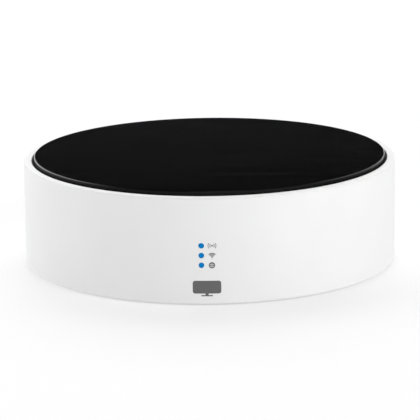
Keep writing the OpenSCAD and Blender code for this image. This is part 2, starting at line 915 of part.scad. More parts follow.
module wifi_module() {
    color("#173a5e")
        translate([wifi_at[0], wifi_at[1], pcb_z]) cube(wifi_pcb);
}

module wifi_can() {
    top = pcb_z + wifi_pcb[2];
    color(steel)
        difference() {
            block([24, -28.5, top], [40, -16, top + 2.2]);
            block([24.2, -28.3, top - 1], [39.8, -16.2, top + 2]);
        }
}

// Small printed antenna that stands in the wall rails at an angle round the drum
module wifi_antenna(a) {
    color(pcb_green)
        rotate(a + 90)
            block([-antenna_w / 2, -antenna_at - antenna_t, antenna_z],
                [antenna_w / 2, -antenna_at, antenna_z + antenna_h]);
}

// Antenna lead with the press-on plug at its board end
module antenna_lead(line) {
    plug = line[len(line) - 1];
    color(black)
        union() {
            wire(smooth_line(line), lead_r);
            translate([plug[0], plug[1], pcb_z + wifi_pcb[2]]) cylinder(r = 1.3, h = 1.4, $fn = 24);
        }
}

// ---- Status lights ----

module led_board() {
    color(pcb_green)
        block([-led_board_w / 2, led_board_front, led_board_zs[0]],
            [led_board_w / 2, led_board_front + led_board_t, led_board_zs[1]]);
}

module led(i) {
    color("#d9e8f5")
        block([light_x - led_w / 2, led_board_front - led_t, light_zs[i - 1] - led_h / 2],
            [light_x + led_w / 2, led_board_front, light_zs[i - 1] + led_h / 2]);
}

// Clear moulding: three pipes, a common bar and two legs that stand on the board
module light_guide() {
    bar = [-71.5, -69.5];
    color("#1878c8")
        union() {
            block([guide_x[0], bar[0], guide_z[0]], [guide_x[1], bar[1], guide_z[1]]);
            for (z = [guide_z[0], guide_z[1] - 0.8])
                block([guide_x[0], bar[1] - 0.5, z], [guide_x[1], led_board_front, z + 0.8]);
            for (z = light_zs)
                rod_y(light_x, z, light_d / 2, -body_r + 0.05, bar[0] + 0.5);
        }
}

// A flat ribbon along a smooth step, w wide, centred on x
module ribbon(x, w, y0, z0, y1, z1) {
    n = 12;
    t = 0.3;
    line = [for (i = [0:n]) [y0 + (y1 - y0) * i / n, ease(z0, z1, i / n)]];
    outline = concat(line, [for (i = [n : -1 : 0]) line[i] + [0, t]]);
    color("#d7d9dc")
        translate([x - w / 2, 0, 0]) rotate([90, 0, 90]) linear_extrude(height = w) polygon(outline);
}

led_socket_y = led_board_front + led_board_t + 2;
button_socket_y = switch_y - button_board_t - 2;

module led_ribbon() {
    ribbon(0, 6, led_socket_y, 13.6, board_front + 1, pcb_z + 1);
}

module button_ribbon() {
    ribbon(-8, 7, button_socket_y, 21.4, 29, pcb_z + 1);
}

module ribbon_sockets() {
    color("#e6e0cf") {
        block([-4.5, led_socket_y - 2, 12], [4.5, led_socket_y, 15.5]);
        block([-4.5, board_front + 1, pcb_z], [4.5, board_front + 5, pcb_z + 2]);
        block([-12.5, button_socket_y, 20], [-3.5, button_socket_y + 2, 23]);
        block([-12.5, 25, pcb_z], [-3.5, 29, pcb_z + 2]);
    }
}

// ---- Everything, one node at a time ----

outer_shell();
top_plate();
top_adhesive();
top_carrier();
carrier_screws();
base_tray();
base_screws();
foot(1);  // foot_1
foot(2);  // foot_2
foot(3);  // foot_3
foot(4);  // foot_4
ballast_ring();
port_panel();
main_board();
board_screws();
soc_chip();
thermal_pad();
heat_sink();
heat_sink_pins();
memory_chips();
flash_chip();
power_inductors();
capacitors();
tuner_can();
wifi_module();
wifi_can();
wifi_antenna(antenna_angles[0]);  // wifi_antenna_left
wifi_antenna(antenna_angles[1]);  // wifi_antenna_right
antenna_lead(lead_left);  // antenna_lead_left
antenna_lead(lead_right);  // antenna_lead_right
led_board();
led(1);  // led_1
led(2);  // led_2
led(3);  // led_3
light_guide();
led_ribbon();
ribbon_sockets();
coax_jack();
coax_insulator();
coax_contact();
coax_nut();
hdmi_shell();
hdmi_tongue();
usb_shell();
usb_tongue();
ethernet_shell();
ethernet_insert();
ethernet_contacts();
dc_jack_body();
dc_jack_pin();
power_button();
power_plunger();
power_switch();
reset_plunger();
reset_switch();
button_board();
button_board_screws();
button_ribbon();
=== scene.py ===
# %% [markdown]
# # A round streaming media player
# The real thing is a low white drum with a black metal plate let into its top. Three blue lights
# shine through its wall at the front, each with a small printed symbol, and a recessed bay at the
# rear holds the sockets. The engineering model gives every part its place and size. The cells
# below load it, dress it in real finishes, and swap its plain outer parts for finer ones.

# %% Load the engineering model
import math

import bmesh
import bpy
from mathutils import Matrix, Vector


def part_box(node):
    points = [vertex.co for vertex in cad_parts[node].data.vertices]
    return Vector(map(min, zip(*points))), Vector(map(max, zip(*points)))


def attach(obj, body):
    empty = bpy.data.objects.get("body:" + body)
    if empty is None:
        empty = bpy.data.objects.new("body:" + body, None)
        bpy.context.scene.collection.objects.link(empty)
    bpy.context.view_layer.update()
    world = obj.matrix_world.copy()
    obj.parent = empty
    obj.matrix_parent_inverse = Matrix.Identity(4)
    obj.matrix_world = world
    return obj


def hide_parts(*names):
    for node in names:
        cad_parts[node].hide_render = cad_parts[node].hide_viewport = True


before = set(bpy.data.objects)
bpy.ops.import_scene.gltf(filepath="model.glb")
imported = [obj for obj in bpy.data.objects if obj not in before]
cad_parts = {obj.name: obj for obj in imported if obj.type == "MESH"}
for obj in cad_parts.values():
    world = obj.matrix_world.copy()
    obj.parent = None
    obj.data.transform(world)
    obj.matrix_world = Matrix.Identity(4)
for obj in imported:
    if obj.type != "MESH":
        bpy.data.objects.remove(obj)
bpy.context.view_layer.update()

MM = 0.001
CASING = "casing"


# %% [markdown]
# ## Sizes taken from the model
# A finer part has to sit exactly where the plain one sat, so its sizes are read from the boxes
# of the parts round it and not typed in again. Only small details, such as roundings that a box
# can't show, are given here as numbers in millimetres. OVER is how far a cutter runs past what it
# cuts.

# %% Read the sizes
shell_lo, shell_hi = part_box("outer_shell")
plate_lo, plate_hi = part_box("top_plate")
carrier_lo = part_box("top_carrier")[0]
panel_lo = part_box("port_panel")[0]
guide_lo, guide_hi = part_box("light_guide")

BODY_R = shell_hi.x
WALL = 2.4 * MM
RIM_W = 3.3 * MM
RIM_ROUND = 0.8 * MM
RIM_INNER_ROUND = 0.3 * MM
FOOT_ROUND = 1.2 * MM
LEDGE_T = 2.0 * MM
LEDGE_IN = 60.0 * MM
SHELL_Z = shell_lo.z
RIM_Z = shell_hi.z
RIM_IN = BODY_R - RIM_W
WALL_IN = BODY_R - WALL
LEDGE_Z = carrier_lo.z
LEDGE_UNDER = LEDGE_Z - LEDGE_T
PLATE_R = plate_hi.x
PLATE_TOP = plate_hi.z
PLATE_T = 1.6 * MM
PLATE_CHAMFER = 0.27 * MM
SKIRT_T = 1.5 * MM
CARRIER_SCREW_AT = 63 * MM
CARRIER_PILOT_R = 1.25 * MM
TRAY_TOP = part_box("ballast_ring")[0].z
OVER = 1 * MM
print("drum radius", round(BODY_R / MM, 2), "mm, rim at", round(RIM_Z / MM, 2), "mm")


# %% [markdown]
# ## Helpers for meshes
# Nearly every part of this player is turned, drawn or extruded, so three helpers do most of the
# work: one spins an outline round an axis, one makes a closed block from two stacked outlines,
# and one cuts one solid out of another. Weighted normals keep wide flat faces flat beside small
# roundings, which is what makes a moulding look crisp.

# %% Clean mesh objects
SAME_POINT = 1e-7


def arc(cx, cy, r, a0, a1, n=6):
    """Points of an arc about (cx, cy) between two angles in degrees."""
    angles = [math.radians(a0 + (a1 - a0) * i / n) for i in range(n + 1)]
    return [(cx + r * math.cos(a), cy + r * math.sin(a)) for a in angles]


def clean(mesh):
    """Merges points that lie together, drops stray edges and turns every face outwards."""
    bm = bmesh.new()
    bm.from_mesh(mesh)
    bmesh.ops.remove_doubles(bm, verts=bm.verts, dist=SAME_POINT)
    bmesh.ops.dissolve_degenerate(bm, edges=bm.edges, dist=SAME_POINT / 10)
    stray = [edge for edge in bm.edges if not edge.link_faces]
    bmesh.ops.delete(bm, geom=stray, context="EDGES")
    bmesh.ops.recalc_face_normals(bm, faces=bm.faces)
    bm.to_mesh(mesh)
    bm.free()


def mesh_object(name, verts, faces):
    """A closed mesh object from points and faces."""
    mesh = bpy.data.meshes.new(name)
    mesh.from_pydata([tuple(v) for v in verts], [], faces)
    clean(mesh)
    obj = bpy.data.objects.new(name, mesh)
    bpy.context.scene.collection.objects.link(obj)
    return obj


print("points closer than", SAME_POINT, "m are merged")


# %% [markdown]
# ### Turned, drawn and boxed parts
# A lathe makes anything round from half of its outline, and a prism makes anything that has one
# outline all the way through. Both number their points row by row, so the faces follow from plain
# counting and the result is closed.

# %% Turn, draw and box
def lathe(name, profile, steps=96, loop=False, place=None):
    """Spins (radius, height) points round the Z axis, then moves the result by the matrix place."""
    place = place or Matrix.Identity(4)
    verts = []
    for i in range(steps):
        a = 2 * math.pi * i / steps
        verts += [place @ Vector((r * math.cos(a), r * math.sin(a), z)) for r, z in profile]
    n = len(profile)
    spans = n if loop else n - 1
    faces = []
    for i in range(steps):
        j = (i + 1) % steps
        for k in range(spans):
            m = (k + 1) % n
            faces.append((i * n + k, j * n + k, j * n + m, i * n + m))
    return mesh_object(name, verts, faces)


def prism(name, outline, low, high):
    """A block with the given (x, y) outline between two heights."""
    n = len(outline)
    verts = [(x, y, z) for z in (low, high) for x, y in outline]
    faces = [tuple(range(n - 1, -1, -1)), tuple(range(n, 2 * n))]
    faces += [(i, (i + 1) % n, n + (i + 1) % n, n + i) for i in range(n)]
    return mesh_object(name, verts, faces)


def box_mesh(name, low, high):
    """A block between two corners, used as a cutter or joined to something finer."""
    outline = [(low[0], low[1]), (high[0], low[1]), (high[0], high[1]), (low[0], high[1])]
    return prism(name, outline, low[2], high[2])


def along_y(x, z):
    """The matrix that lays a lathe's axis along +Y, through (x, z)."""
    return Matrix.Translation((x, 0, z)) @ Matrix.Rotation(math.radians(-90), 4, "X")


def about_z(angle):
    """The matrix that turns a thing round the drum's axis, by degrees."""
    return Matrix.Rotation(math.radians(angle), 4, "Z")


print("helpers for turned, drawn and boxed parts are ready")


# %% [markdown]
# ### Cutting and joining
# Booleans are applied at once, so that a later step sees real mesh, and the result is cleaned of
# the stray points that a cut can leave.

# %% Cut and join
def apply_modifiers(obj):
    """Turns an object's modifiers into real mesh."""
    graph = bpy.context.evaluated_depsgraph_get()
    done = bpy.data.meshes.new_from_object(obj.evaluated_get(graph))
    obj.modifiers.clear()
    obj.data = done
    return obj


def combine(target, tools, how="DIFFERENCE"):
    """Cuts the tools from the target, or adds them to it, and deletes the tools."""
    for tool in tools:
        step = target.modifiers.new("combine", "BOOLEAN")
        step.operation = how
        step.solver = "EXACT"
        step.object = tool
        apply_modifiers(target)
        bpy.data.objects.remove(tool)
    clean(target.data)
    return target


def merge(name, parts):
    """Joins separate solids into one object."""
    bm = bmesh.new()
    for part in parts:
        bm.from_mesh(part.data)
        bpy.data.objects.remove(part)
    mesh = bpy.data.meshes.new(name)
    bm.to_mesh(mesh)
    bm.free()
    obj = bpy.data.objects.new(name, mesh)
    bpy.context.scene.collection.objects.link(obj)
    return obj


print("helpers for cutting and joining are ready")


# %% [markdown]
# ### Edges, shading and dressing
# A bevel stays a modifier, because the radius of a moulded edge is then one number that is easy
# to change. At the end each new piece is dressed: it gets its shading and materials, and rides a
# body.

# %% Soften, shade and dress
BEVEL_FROM = 35
SHARP_FROM = 30


def soften(obj, width):
    """Rounds every edge sharper than BEVEL_FROM degrees."""
    step = obj.modifiers.new("soften", "BEVEL")
    step.width = width
    step.segments = 2
    step.limit_method = "ANGLE"
    step.angle_limit = math.radians(BEVEL_FROM)
    step.use_clamp_overlap = True
    return obj


def crisp(obj):
    """Smooth shading, with sharp edges above SHARP_FROM degrees and flat faces kept flat."""
    obj.data.shade_smooth()
    obj.data.set_sharp_from_angle(angle=math.radians(SHARP_FROM))
    step = obj.modifiers.new("flat_faces", "WEIGHTED_NORMAL")
    step.keep_sharp = True
    return obj


def dress(obj, materials, body=CASING, stands_for=()):
    """Gives a new piece its shading, materials and body, and hides the parts that it stands for."""
    crisp(obj)
    for material in materials if isinstance(materials, list) else [materials]:
        obj.data.materials.append(material)
    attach(obj, body)
    if stands_for:
        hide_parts(*stands_for)
    return obj


print("helpers for edges, shading and dressing are ready")


# %% [markdown]
# ## Helpers for finishes
# A finish is more than a colour: a moulded part shows the fine grain of its tool, and brushed
# metal shows its streaks. Each finish starts from one shader and adds noise for colour, for
# roughness and for tiny bumps. The noise reads object coordinates in metres, so a scale of 2000
# gives grains of about half a millimetre, whatever the part.

# %% Finishes and nodes
def finish(name, colour, rough, metal=0.0, **sockets):
    """A new material with its plain values set on the shader."""
    material = bpy.data.materials.new(name + "_finish")
    material.use_nodes = True
    shader = material.node_tree.nodes["Principled BSDF"]
    shader.inputs["Base Color"].default_value = (*colour, 1)
    shader.inputs["Roughness"].default_value = rough
    shader.inputs["Metallic"].default_value = metal
    for socket, value in sockets.items():
        shader.inputs[socket.replace("_", " ")].default_value = value
    material.diffuse_color = (*colour, 1)
    return material


def node(material, kind, **values):
    """Adds a node and sets its inputs by name, or its properties where it has no such input."""
    made = material.node_tree.nodes.new(kind)
    for key, value in values.items():
        name = key.replace("_", " ")
        if name in made.inputs:
            made.inputs[name].default_value = value
        else:
            setattr(made, key, value)
    return made


def link(material, source, output, target, socket):
    """Joins an output of one node to an input of another."""
    material.node_tree.links.new(source.outputs[output], target.inputs[socket])


def noise(material, scale, detail=4.0, stretch=(1, 1, 1)):
    """Noise in object coordinates, stretched along each axis."""
    place = node(material, "ShaderNodeTexCoord")
    spread = node(material, "ShaderNodeMapping")
    spread.inputs["Scale"].default_value = stretch
    made = node(material, "ShaderNodeTexNoise", Scale=scale, Detail=detail)
    link(material, place, "Object", spread, "Vector")
    link(material, spread, "Vector", made, "Vector")
    return made


print("helpers for nodes are ready")


# %% [markdown]
# ### Colour, gloss and bumps from a pattern
# One pattern can drive three things. A ramp turns it into two near colours, a range turns it into
# a rougher or a smoother gloss, and a bump raises it by a real height.

# %% Colour, gloss and bumps
def shader_of(material):
    """The one shader that a finish is built on."""
    return material.node_tree.nodes["Principled BSDF"]


def vary_colour(material, source, dark, light, low=0.3, high=0.7):
    """Lets a pattern move the base colour between two near colours."""
    ramp = node(material, "ShaderNodeValToRGB")
    ramp.color_ramp.elements[0].position = low
    ramp.color_ramp.elements[1].position = high
    ramp.color_ramp.elements[0].color = (*dark, 1)
    ramp.color_ramp.elements[1].color = (*light, 1)
    link(material, source, 0, ramp, "Fac")
    link(material, ramp, "Color", shader_of(material), "Base Color")
    return material


def vary_roughness(material, source, low, high):
    """Lets a pattern move the roughness between two values."""
    span = node(material, "ShaderNodeMapRange", To_Min=low, To_Max=high)
    link(material, source, 0, span, "Value")
    link(material, span, "Result", shader_of(material), "Roughness")
    return material


def bump(material, source, height, strength=1.0):
    """Raises a pattern by a height in metres, after any bump that is already there."""
    made = node(material, "ShaderNodeBump", Strength=strength, Distance=height)
    link(material, source, 0, made, "Height")
    before = shader_of(material).inputs["Normal"].links
    if before:
        material.node_tree.links.new(before[0].from_socket, made.inputs["Normal"])
    link(material, made, "Normal", shader_of(material), "Normal")
    return material


def grey(value):
    """A neutral colour."""
    return (value, value, value)


print("finish helpers are ready")


# %% [markdown]
# ## White shell finish
# The drum is moulded in white plastic with a satin surface: the tool is spark-eroded, so the
# skin has a grain far finer than a millimetre, and the gloss is soft. Two noises do this. A fine
# one bumps the surface and a broad faint one varies the gloss, as flow in the mould does.

# %% White plastic
white_plastic = finish("white_plastic", grey(0.86), 0.42, IOR=1.49)
vary_colour(white_plastic, noise(white_plastic, 60, 2), grey(0.852), grey(0.868))
vary_roughness(white_plastic, noise(white_plastic, 900, 3), 0.38, 0.47)
bump(white_plastic, noise(white_plastic, 7000, 2), 0.004 * MM, 0.5)
print("made", white_plastic.name)


# %% [markdown]
# ## The drum
# The real shell is one moulding: wall, rounded rim, and an inner ledge that carries the top. A
# bevelled cylinder would do for the outside, but one spun outline also gives the ledge and the
# wall's thickness. It takes 360 steps, fine enough that the edge never looks cut. The bay at
# the rear and the holes for the lights are then cut from it, so that the wall shows its true
# thickness there. Bosses, rails and vents inside are added the same way, because a shell that is
# taken apart should look right too.

# %% Shell
shell_outline = (
    arc(BODY_R - FOOT_ROUND, SHELL_Z + FOOT_ROUND, FOOT_ROUND, -90, 0, 10)
    + arc(BODY_R - RIM_ROUND, RIM_Z - RIM_ROUND, RIM_ROUND, 0, 90, 10)
    + arc(RIM_IN + RIM_INNER_ROUND, RIM_Z - RIM_INNER_ROUND, RIM_INNER_ROUND, 90, 180, 6)
    + [
        (RIM_IN, LEDGE_Z), (LEDGE_IN, LEDGE_Z), (LEDGE_IN, LEDGE_UNDER),
        (WALL_IN, LEDGE_UNDER), (WALL_IN, SHELL_Z),
    ]
)
shell = lathe("shell", shell_outline, 360, loop=True)
print("shell ring has", len(shell.data.polygons), "faces")


# %% [markdown]
# ### Inside the shell
# Four bosses take the base screws and pairs of slotted rails hold the small boards. They are
# placed from the screws and boards that they hold.

# %% Bosses and rails
BOSS_R = 4.6 * MM
PILOT_R = 1.1 * MM
BOSS_ANGLES = (20, 160, 235, 305)
BOSS_AT = BODY_R - 6.6 * MM
RAIL_W = 3.5 * MM
RAIL_SLOT = 1.2 * MM
SLOT_GAP = 0.1 * MM


def post(name, angle, at, r, low, high, steps=32):
    """A round post that stands at an angle round the drum."""
    outline = [(0, low), (r, low), (r, high), (0, high)]
    return lathe(name, outline, steps, place=about_z(angle) @ Matrix.Translation((at, 0, 0)))


def rail(name, angle, side, x, near, far, slot_y, low, slot_top):
    """A wall rail with a slot for a board's end, drawn at the front and turned to its angle."""
    body = box_mesh(name, (x, far, low - 2 * MM), (x + RAIL_W, near, LEDGE_Z - OVER))
    slot = box_mesh("slot", (x - OVER, slot_y[0], low - 3 * MM), (x + RAIL_SLOT, slot_y[1], slot_top))
    combine(body, [slot])
    body.data.transform(about_z(angle) @ Matrix.Diagonal((side, 1, 1, 1)))
    if side < 0:
        body.data.flip_normals()
    return body


led_lo, led_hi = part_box("led_board")
additions = [post("boss", a, BOSS_AT, BOSS_R, TRAY_TOP, LEDGE_UNDER + OVER, 40) for a in BOSS_ANGLES]
LED_RAIL_NEAR = -64.5 * MM
for side in (-1, 1):
    additions.append(rail(
        "led_rail", 0, side, led_hi.x - OVER, LED_RAIL_NEAR, -WALL_IN + 0.5 * MM,
        (led_lo.y - SLOT_GAP, led_hi.y + SLOT_GAP), led_lo.z, led_hi.z + 2 * SLOT_GAP))

antenna_lo, antenna_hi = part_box("wifi_antenna_left")
ANTENNA_AT = 69.4 * MM
ANTENNA_T = 0.8 * MM
ANTENNA_HALF = 17 * MM
ANTENNA_ANGLES = (195, 345)
ANTENNA_RAIL = (-67.6 * MM, -71.4 * MM)
for angle in ANTENNA_ANGLES:
    for side in (-1, 1):
        additions.append(rail(
            "antenna_rail", angle + 90, side, ANTENNA_HALF - OVER, *ANTENNA_RAIL,
            (-ANTENNA_AT - ANTENNA_T - SLOT_GAP, -ANTENNA_AT + SLOT_GAP), antenna_lo.z,
            antenna_hi.z + SLOT_GAP))
combine(shell, additions, "UNION")
print("shell with bosses and rails has", len(shell.data.polygons), "faces")


# %% [markdown]
# ### Screw holes and vents
# Warm air leaves through slots in the ledge, under the gap round the plate, where nobody sees
# them. All holes go into one object first, because one cut is faster than thirty.

# %% Screw holes and vents
VENT_STEP = 15
VENT_FIRST = 7.5
VENT_W = 10 * MM
VENT_SPAN = (66.3 * MM, 70.5 * MM)
NEAR_BOSS = 6

vent_angles = [VENT_FIRST + VENT_STEP * i for i in range(24)]
vent_angles = [a for a in vent_angles if min(abs(a - b) for b in BOSS_ANGLES) > NEAR_BOSS]
pilot_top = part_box("base_screws")[1].z + 0.3 * MM
cuts = [post("pilot", a, BOSS_AT, PILOT_R, 0, pilot_top) for a in BOSS_ANGLES]
cuts += [
    post("screw_hole", a, CARRIER_SCREW_AT, CARRIER_PILOT_R, LEDGE_UNDER - OVER, LEDGE_Z + OVER)
    for a in (0, 90, 180, 270)]
for a in vent_angles:
    vent = box_mesh(
        "vent", (VENT_SPAN[0], -VENT_W / 2, LEDGE_UNDER - OVER), (VENT_SPAN[1], VENT_W / 2, LEDGE_Z + OVER))
    vent.data.transform(about_z(a))
    cuts.append(vent)
combine(shell, [merge("cuts", cuts)])
print("cut", len(vent_angles), "vents; the shell has", len(shell.data.polygons), "faces")


# %% [markdown]
# ### Openings in the wall
# The bay at the rear is a plain window with a hair gap round the port panel. At the front each
# light gets a drilled hole, a touch wider than its clear pipe, so that a thin dark ring shows.

# %% Openings
BAY_GAP = 0.2 * MM
bay_half = 43 * MM
bay_z = (panel_lo.z + 3.4 * MM, 31 * MM)
LIGHT_R = 1.05 * MM
light_x = (guide_lo.x + guide_hi.x) / 2
light_zs = [sum(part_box(f"led_{i}")[k].z for k in (0, 1)) / 2 for i in (1, 2, 3)]

window = box_mesh(
    "window", (-bay_half - BAY_GAP, 50 * MM, bay_z[0] - BAY_GAP),
    (bay_half + BAY_GAP, BODY_R + OVER, bay_z[1] + BAY_GAP))
holes = []
hole_r = LIGHT_R + 0.05 * MM
hole_y = (-BODY_R - OVER, -71 * MM)
for z in light_zs:
    hole = [(0, hole_y[0]), (hole_r, hole_y[0]), (hole_r, hole_y[1]), (0, hole_y[1])]
    holes.append(lathe("hole", hole, 48, place=along_y(light_x, z)))
combine(shell, [window, merge("holes", holes)])
dress(shell, white_plastic, stands_for=["outer_shell"])
print("lights at heights", [round(z / MM, 2) for z in light_zs], "mm")


# %% [markdown]
# ## Black top plate
# The plate is drawn aluminium, brushed in one direction, then anodised black. Brushing leaves
# long hair-thin scratches, so the noise is stretched hard along X. It is a metal whose reflection
# is kept low even at a glance, because the dye swallows it. The edge is cut after anodising with
# a diamond tool, so its chamfer is bare and mirrors the studio: bright at the sides, dark in front.
# The side below it is dyed but not brushed, so it is smoother, and gleams where it is seen aslant.
# An anisotropic shader could give the brushed look too, but noise also shows single scratches.

# %% Metal finishes
STREAK = (0.03, 1, 1)
black_metal = finish("black_metal", grey(0.017), 0.42, 1.0, Specular_Tint=(0.14, 0.14, 0.14, 1))
streaks = noise(black_metal, 650, 6, STREAK)
vary_colour(black_metal, streaks, (0.008, 0.008, 0.0082), (0.026, 0.026, 0.0265), 0.35, 0.65)
vary_roughness(black_metal, streaks, 0.1, 0.74)
bump(black_metal, streaks, 0.012 * MM, 0.5)

cut_metal = finish("cut_metal", grey(0.2), 0.16, 1.0)
vary_roughness(cut_metal, noise(cut_metal, 1500, 2), 0.12, 0.22)

plate_side = finish("plate_side", grey(0.014), 0.3, 1.0, Specular_Tint=(0.9, 0.9, 0.9, 1))
vary_roughness(plate_side, noise(plate_side, 1800, 3, (1, 1, 0.05)), 0.25, 0.36)
print("made", black_metal.name, cut_metal.name, plate_side.name)


# %% [markdown]
# ### The plate itself
# The plate is a shallow lid: its skirt hangs into the groove, so the groove looks deep and dark.
# It is spun from one outline, and each face takes its finish by where it lies: brushed on top, cut
# on the chamfer, and smooth dyed metal round the side.

# %% Top plate
top_outline = (
    [(0, PLATE_TOP), (PLATE_R - PLATE_CHAMFER, PLATE_TOP), (PLATE_R, PLATE_TOP - PLATE_CHAMFER)]
    + [(PLATE_R, plate_lo.z + 0.15 * MM), (PLATE_R - 0.15 * MM, plate_lo.z), (PLATE_R - SKIRT_T, plate_lo.z)]
    + arc(PLATE_R - SKIRT_T - 0.5 * MM, PLATE_TOP - PLATE_T - 0.5 * MM, 0.5 * MM, 0, 90, 4)
    + [(0, PLATE_TOP - PLATE_T)]
)
BRUSHED, CUT, SIDE = range(3)
plate = lathe("brushed_plate", top_outline, 360)
dress(plate, [black_metal, cut_metal, plate_side], stands_for=["top_plate"])
chamfer_low = PLATE_TOP - PLATE_CHAMFER * 0.9
chamfer_high = PLATE_TOP - PLATE_CHAMFER * 0.1
for face in plate.data.polygons:
    if chamfer_low < face.center.z < chamfer_high:
        face.material_index = CUT
    elif face.center.z < chamfer_low and abs(face.normal.z) < 0.5:
        face.material_index = SIDE
    else:
        face.material_index = BRUSHED
print("plate radius", round(PLATE_R / MM, 2), "mm, top at", round(PLATE_TOP / MM, 2), "mm")


# %% [markdown]
# ## Status lights
# Behind the wall one clear moulding carries three short pipes from the lamps to the surface. Its
# tips glow an even blue. Three loose discs would look the same from outside, but the moulding is
# one piece, so it is made as one and the tips get a glowing material and a slight dome. The rest
# stays clear blue plastic. The glow is kept below white, so that the lights keep their colour.

# %% Light guide
glow_blue = finish(
    "glow_blue", (0.0, 0.006, 0.02), 0.5, Specular_IOR_Level=0.08,
    Emission_Color=(0.0, 0.195, 0.52, 1), Emission_Strength=0.92)
vary_roughness(glow_blue, noise(glow_blue, 2500, 2), 0.45, 0.6)
clear_blue = finish("clear_blue", (0.03, 0.3, 0.75), 0.12, Transmission_Weight=0.6, IOR=1.49)
vary_roughness(clear_blue, noise(clear_blue, 1200, 2), 0.08, 0.2)

BAR_Y = (-71.5 * MM, -69.5 * MM)
TIP_DEEP = 0.4 * MM
LEG = 0.8 * MM
TIP_ROUND = 0.15 * MM
tip_y = -BODY_R + 0.02 * MM
guide_parts = []
for z in light_zs:
    tip = [(0, tip_y), (LIGHT_R * 0.5, tip_y + 0.02 * MM), (LIGHT_R - TIP_ROUND, tip_y + 0.06 * MM)]
    tip += [(LIGHT_R, tip_y + 0.06 * MM + TIP_ROUND)]
    tip += [(LIGHT_R, BAR_Y[0] + 0.5 * MM), (0, BAR_Y[0] + 0.5 * MM)]
    guide_parts.append(lathe("pipe", tip, 48, place=along_y(light_x, z)))
guide = box_mesh("light_pipes", (guide_lo.x, BAR_Y[0], guide_lo.z), (guide_hi.x, BAR_Y[1], guide_hi.z))
for z in (guide_lo.z, guide_hi.z - LEG):
    guide_parts.append(box_mesh("leg", (guide_lo.x, BAR_Y[1] - OVER / 2, z), (guide_hi.x, led_lo.y, z + LEG)))
combine(guide, guide_parts, "UNION")
dress(guide, [clear_blue, glow_blue], stands_for=["light_guide"])
for face in guide.data.polygons:
    if face.center.y < -BODY_R + TIP_DEEP:
        face.material_index = 1
print("light guide has", len(light_zs), "pipes")


# %% [markdown]
# ## Printed symbols
# Grey ink is printed on the curved wall beside each light: a broadcast sign, a wireless fan and a
# globe, and below them a small television screen on a foot. A painted texture would have soft
# edges close up, and ink film has a real thickness, so each shape is a thin closed solid. It is
# drawn flat as a grid of points, then wrapped round the drum, where a width becomes an angle.

# %% Wrap flat shapes round the drum
INK_PROUD = 0.03 * MM
INK_DEEP = 0.05 * MM


def wrapped(u, z, depth):
    """The point at a distance u round the wall's front, at height z and depth outside the wall."""
    a = u / BODY_R
    r = BODY_R + depth
    return (r * math.sin(a), -r * math.cos(a), z)


def ink_grid(rows, closed=False):
    """Points and faces of a thin solid over a grid: rows of (u, z) points, all of one length."""
    m, n = len(rows), len(rows[0])
    verts = [wrapped(u, z, d) for d in (INK_PROUD, -INK_DEEP) for row in rows for u, z in row]
    back = m * n
    faces = []
    columns = n if closed else n - 1
    for i in range(m - 1):
        for k in range(columns):
            j = (k + 1) % n
            quad = (i * n + k, i * n + j, (i + 1) * n + j, (i + 1) * n + k)
            faces += [quad, tuple(back + q for q in reversed(quad))]
    edges = [(i * n + k, i * n + (k + 1) % n) for i in (0, m - 1) for k in range(columns)]
    if not closed:
        edges += [(i * n + k, (i + 1) * n + k) for k in (0, n - 1) for i in range(m - 1)]
    faces += [(a, b, back + b, back + a) for a, b in edges]
    return verts, faces


def ink(name, grids):
    """One printed shape from several grids, each given as (rows, closed)."""
    parts = []
    for rows, closed in grids:
        verts, faces = ink_grid(rows, closed)
        parts.append(mesh_object(name, verts, faces))
    return merge(name, parts)


print("ink stands", round(INK_PROUD / MM, 3), "mm proud of the wall")


# %% [markdown]
# ### Rings, ovals and bars
# The printed shapes are made of three strokes only. Each is given as two rows of points, its
# inner and outer edge or its lower and upper edge.

# %% Strokes
def ring_rows(cx, cz, r0, r1, a0=0, a1=360, n=40):
    """A ring or an arc of a ring, as two rows of points."""
    count = n if a1 - a0 == 360 else n + 1
    angles = [math.radians(a0 + (a1 - a0) * i / n) for i in range(count)]
    return [[(cx + r * math.cos(a), cz + r * math.sin(a)) for a in angles] for r in (r0, r1)]


def oval_rows(cx, cz, rx, rz, width, n=40):
    """An upright oval line of even width."""
    angles = [2 * math.pi * i / n for i in range(n)]
    sizes = ((rx - width / 2, rz - width / 2), (rx + width / 2, rz + width / 2))
    return [[(cx + a * math.cos(t), cz + b * math.sin(t)) for t in angles] for a, b in sizes]


def bar_rows(u0, u1, z0, z1, n=8):
    """A plain bar."""
    us = [u0 + (u1 - u0) * i / n for i in range(n + 1)]
    return [[(u, z) for u in us] for z in (z0, z1)]


print("strokes for the printed shapes are ready")


# %% [markdown]
# ### The three symbols
# Lines are about a third of a millimetre wide, as pad printing leaves them. Arcs and bars on one
# grid helper give all three: waves either side of a dot, a fan of arcs, and a globe of ovals.

# %% Symbols
ink_light = finish("ink_light", grey(0.27), 0.4)
ink_mid = finish("ink_mid", grey(0.09), 0.4)
ink_dark = finish("ink_dark", grey(0.115), 0.4)
for material, low, high in ((ink_light, 0.22, 0.26), (ink_mid, 0.08, 0.1), (ink_dark, 0.108, 0.122)):
    vary_colour(material, noise(material, 4000, 2), grey(low), grey(high))

symbol_u = 2.08 * MM
LINE = 0.3 * MM
broadcast_z, fan_z, globe_z = light_zs[2], light_zs[1], light_zs[0]

waves = [(ring_rows(symbol_u, broadcast_z, 0, 0.36 * MM), True)]
for r, half in ((0.84 * MM, 44), (1.5 * MM, 40)):
    for middle in (0, 180):
        waves.append((ring_rows(
            symbol_u, broadcast_z, r - LINE / 2, r + LINE / 2, middle - half, middle + half, 16), False))
symbol_broadcast = ink("symbol_broadcast", waves)
dress(symbol_broadcast, ink_light)

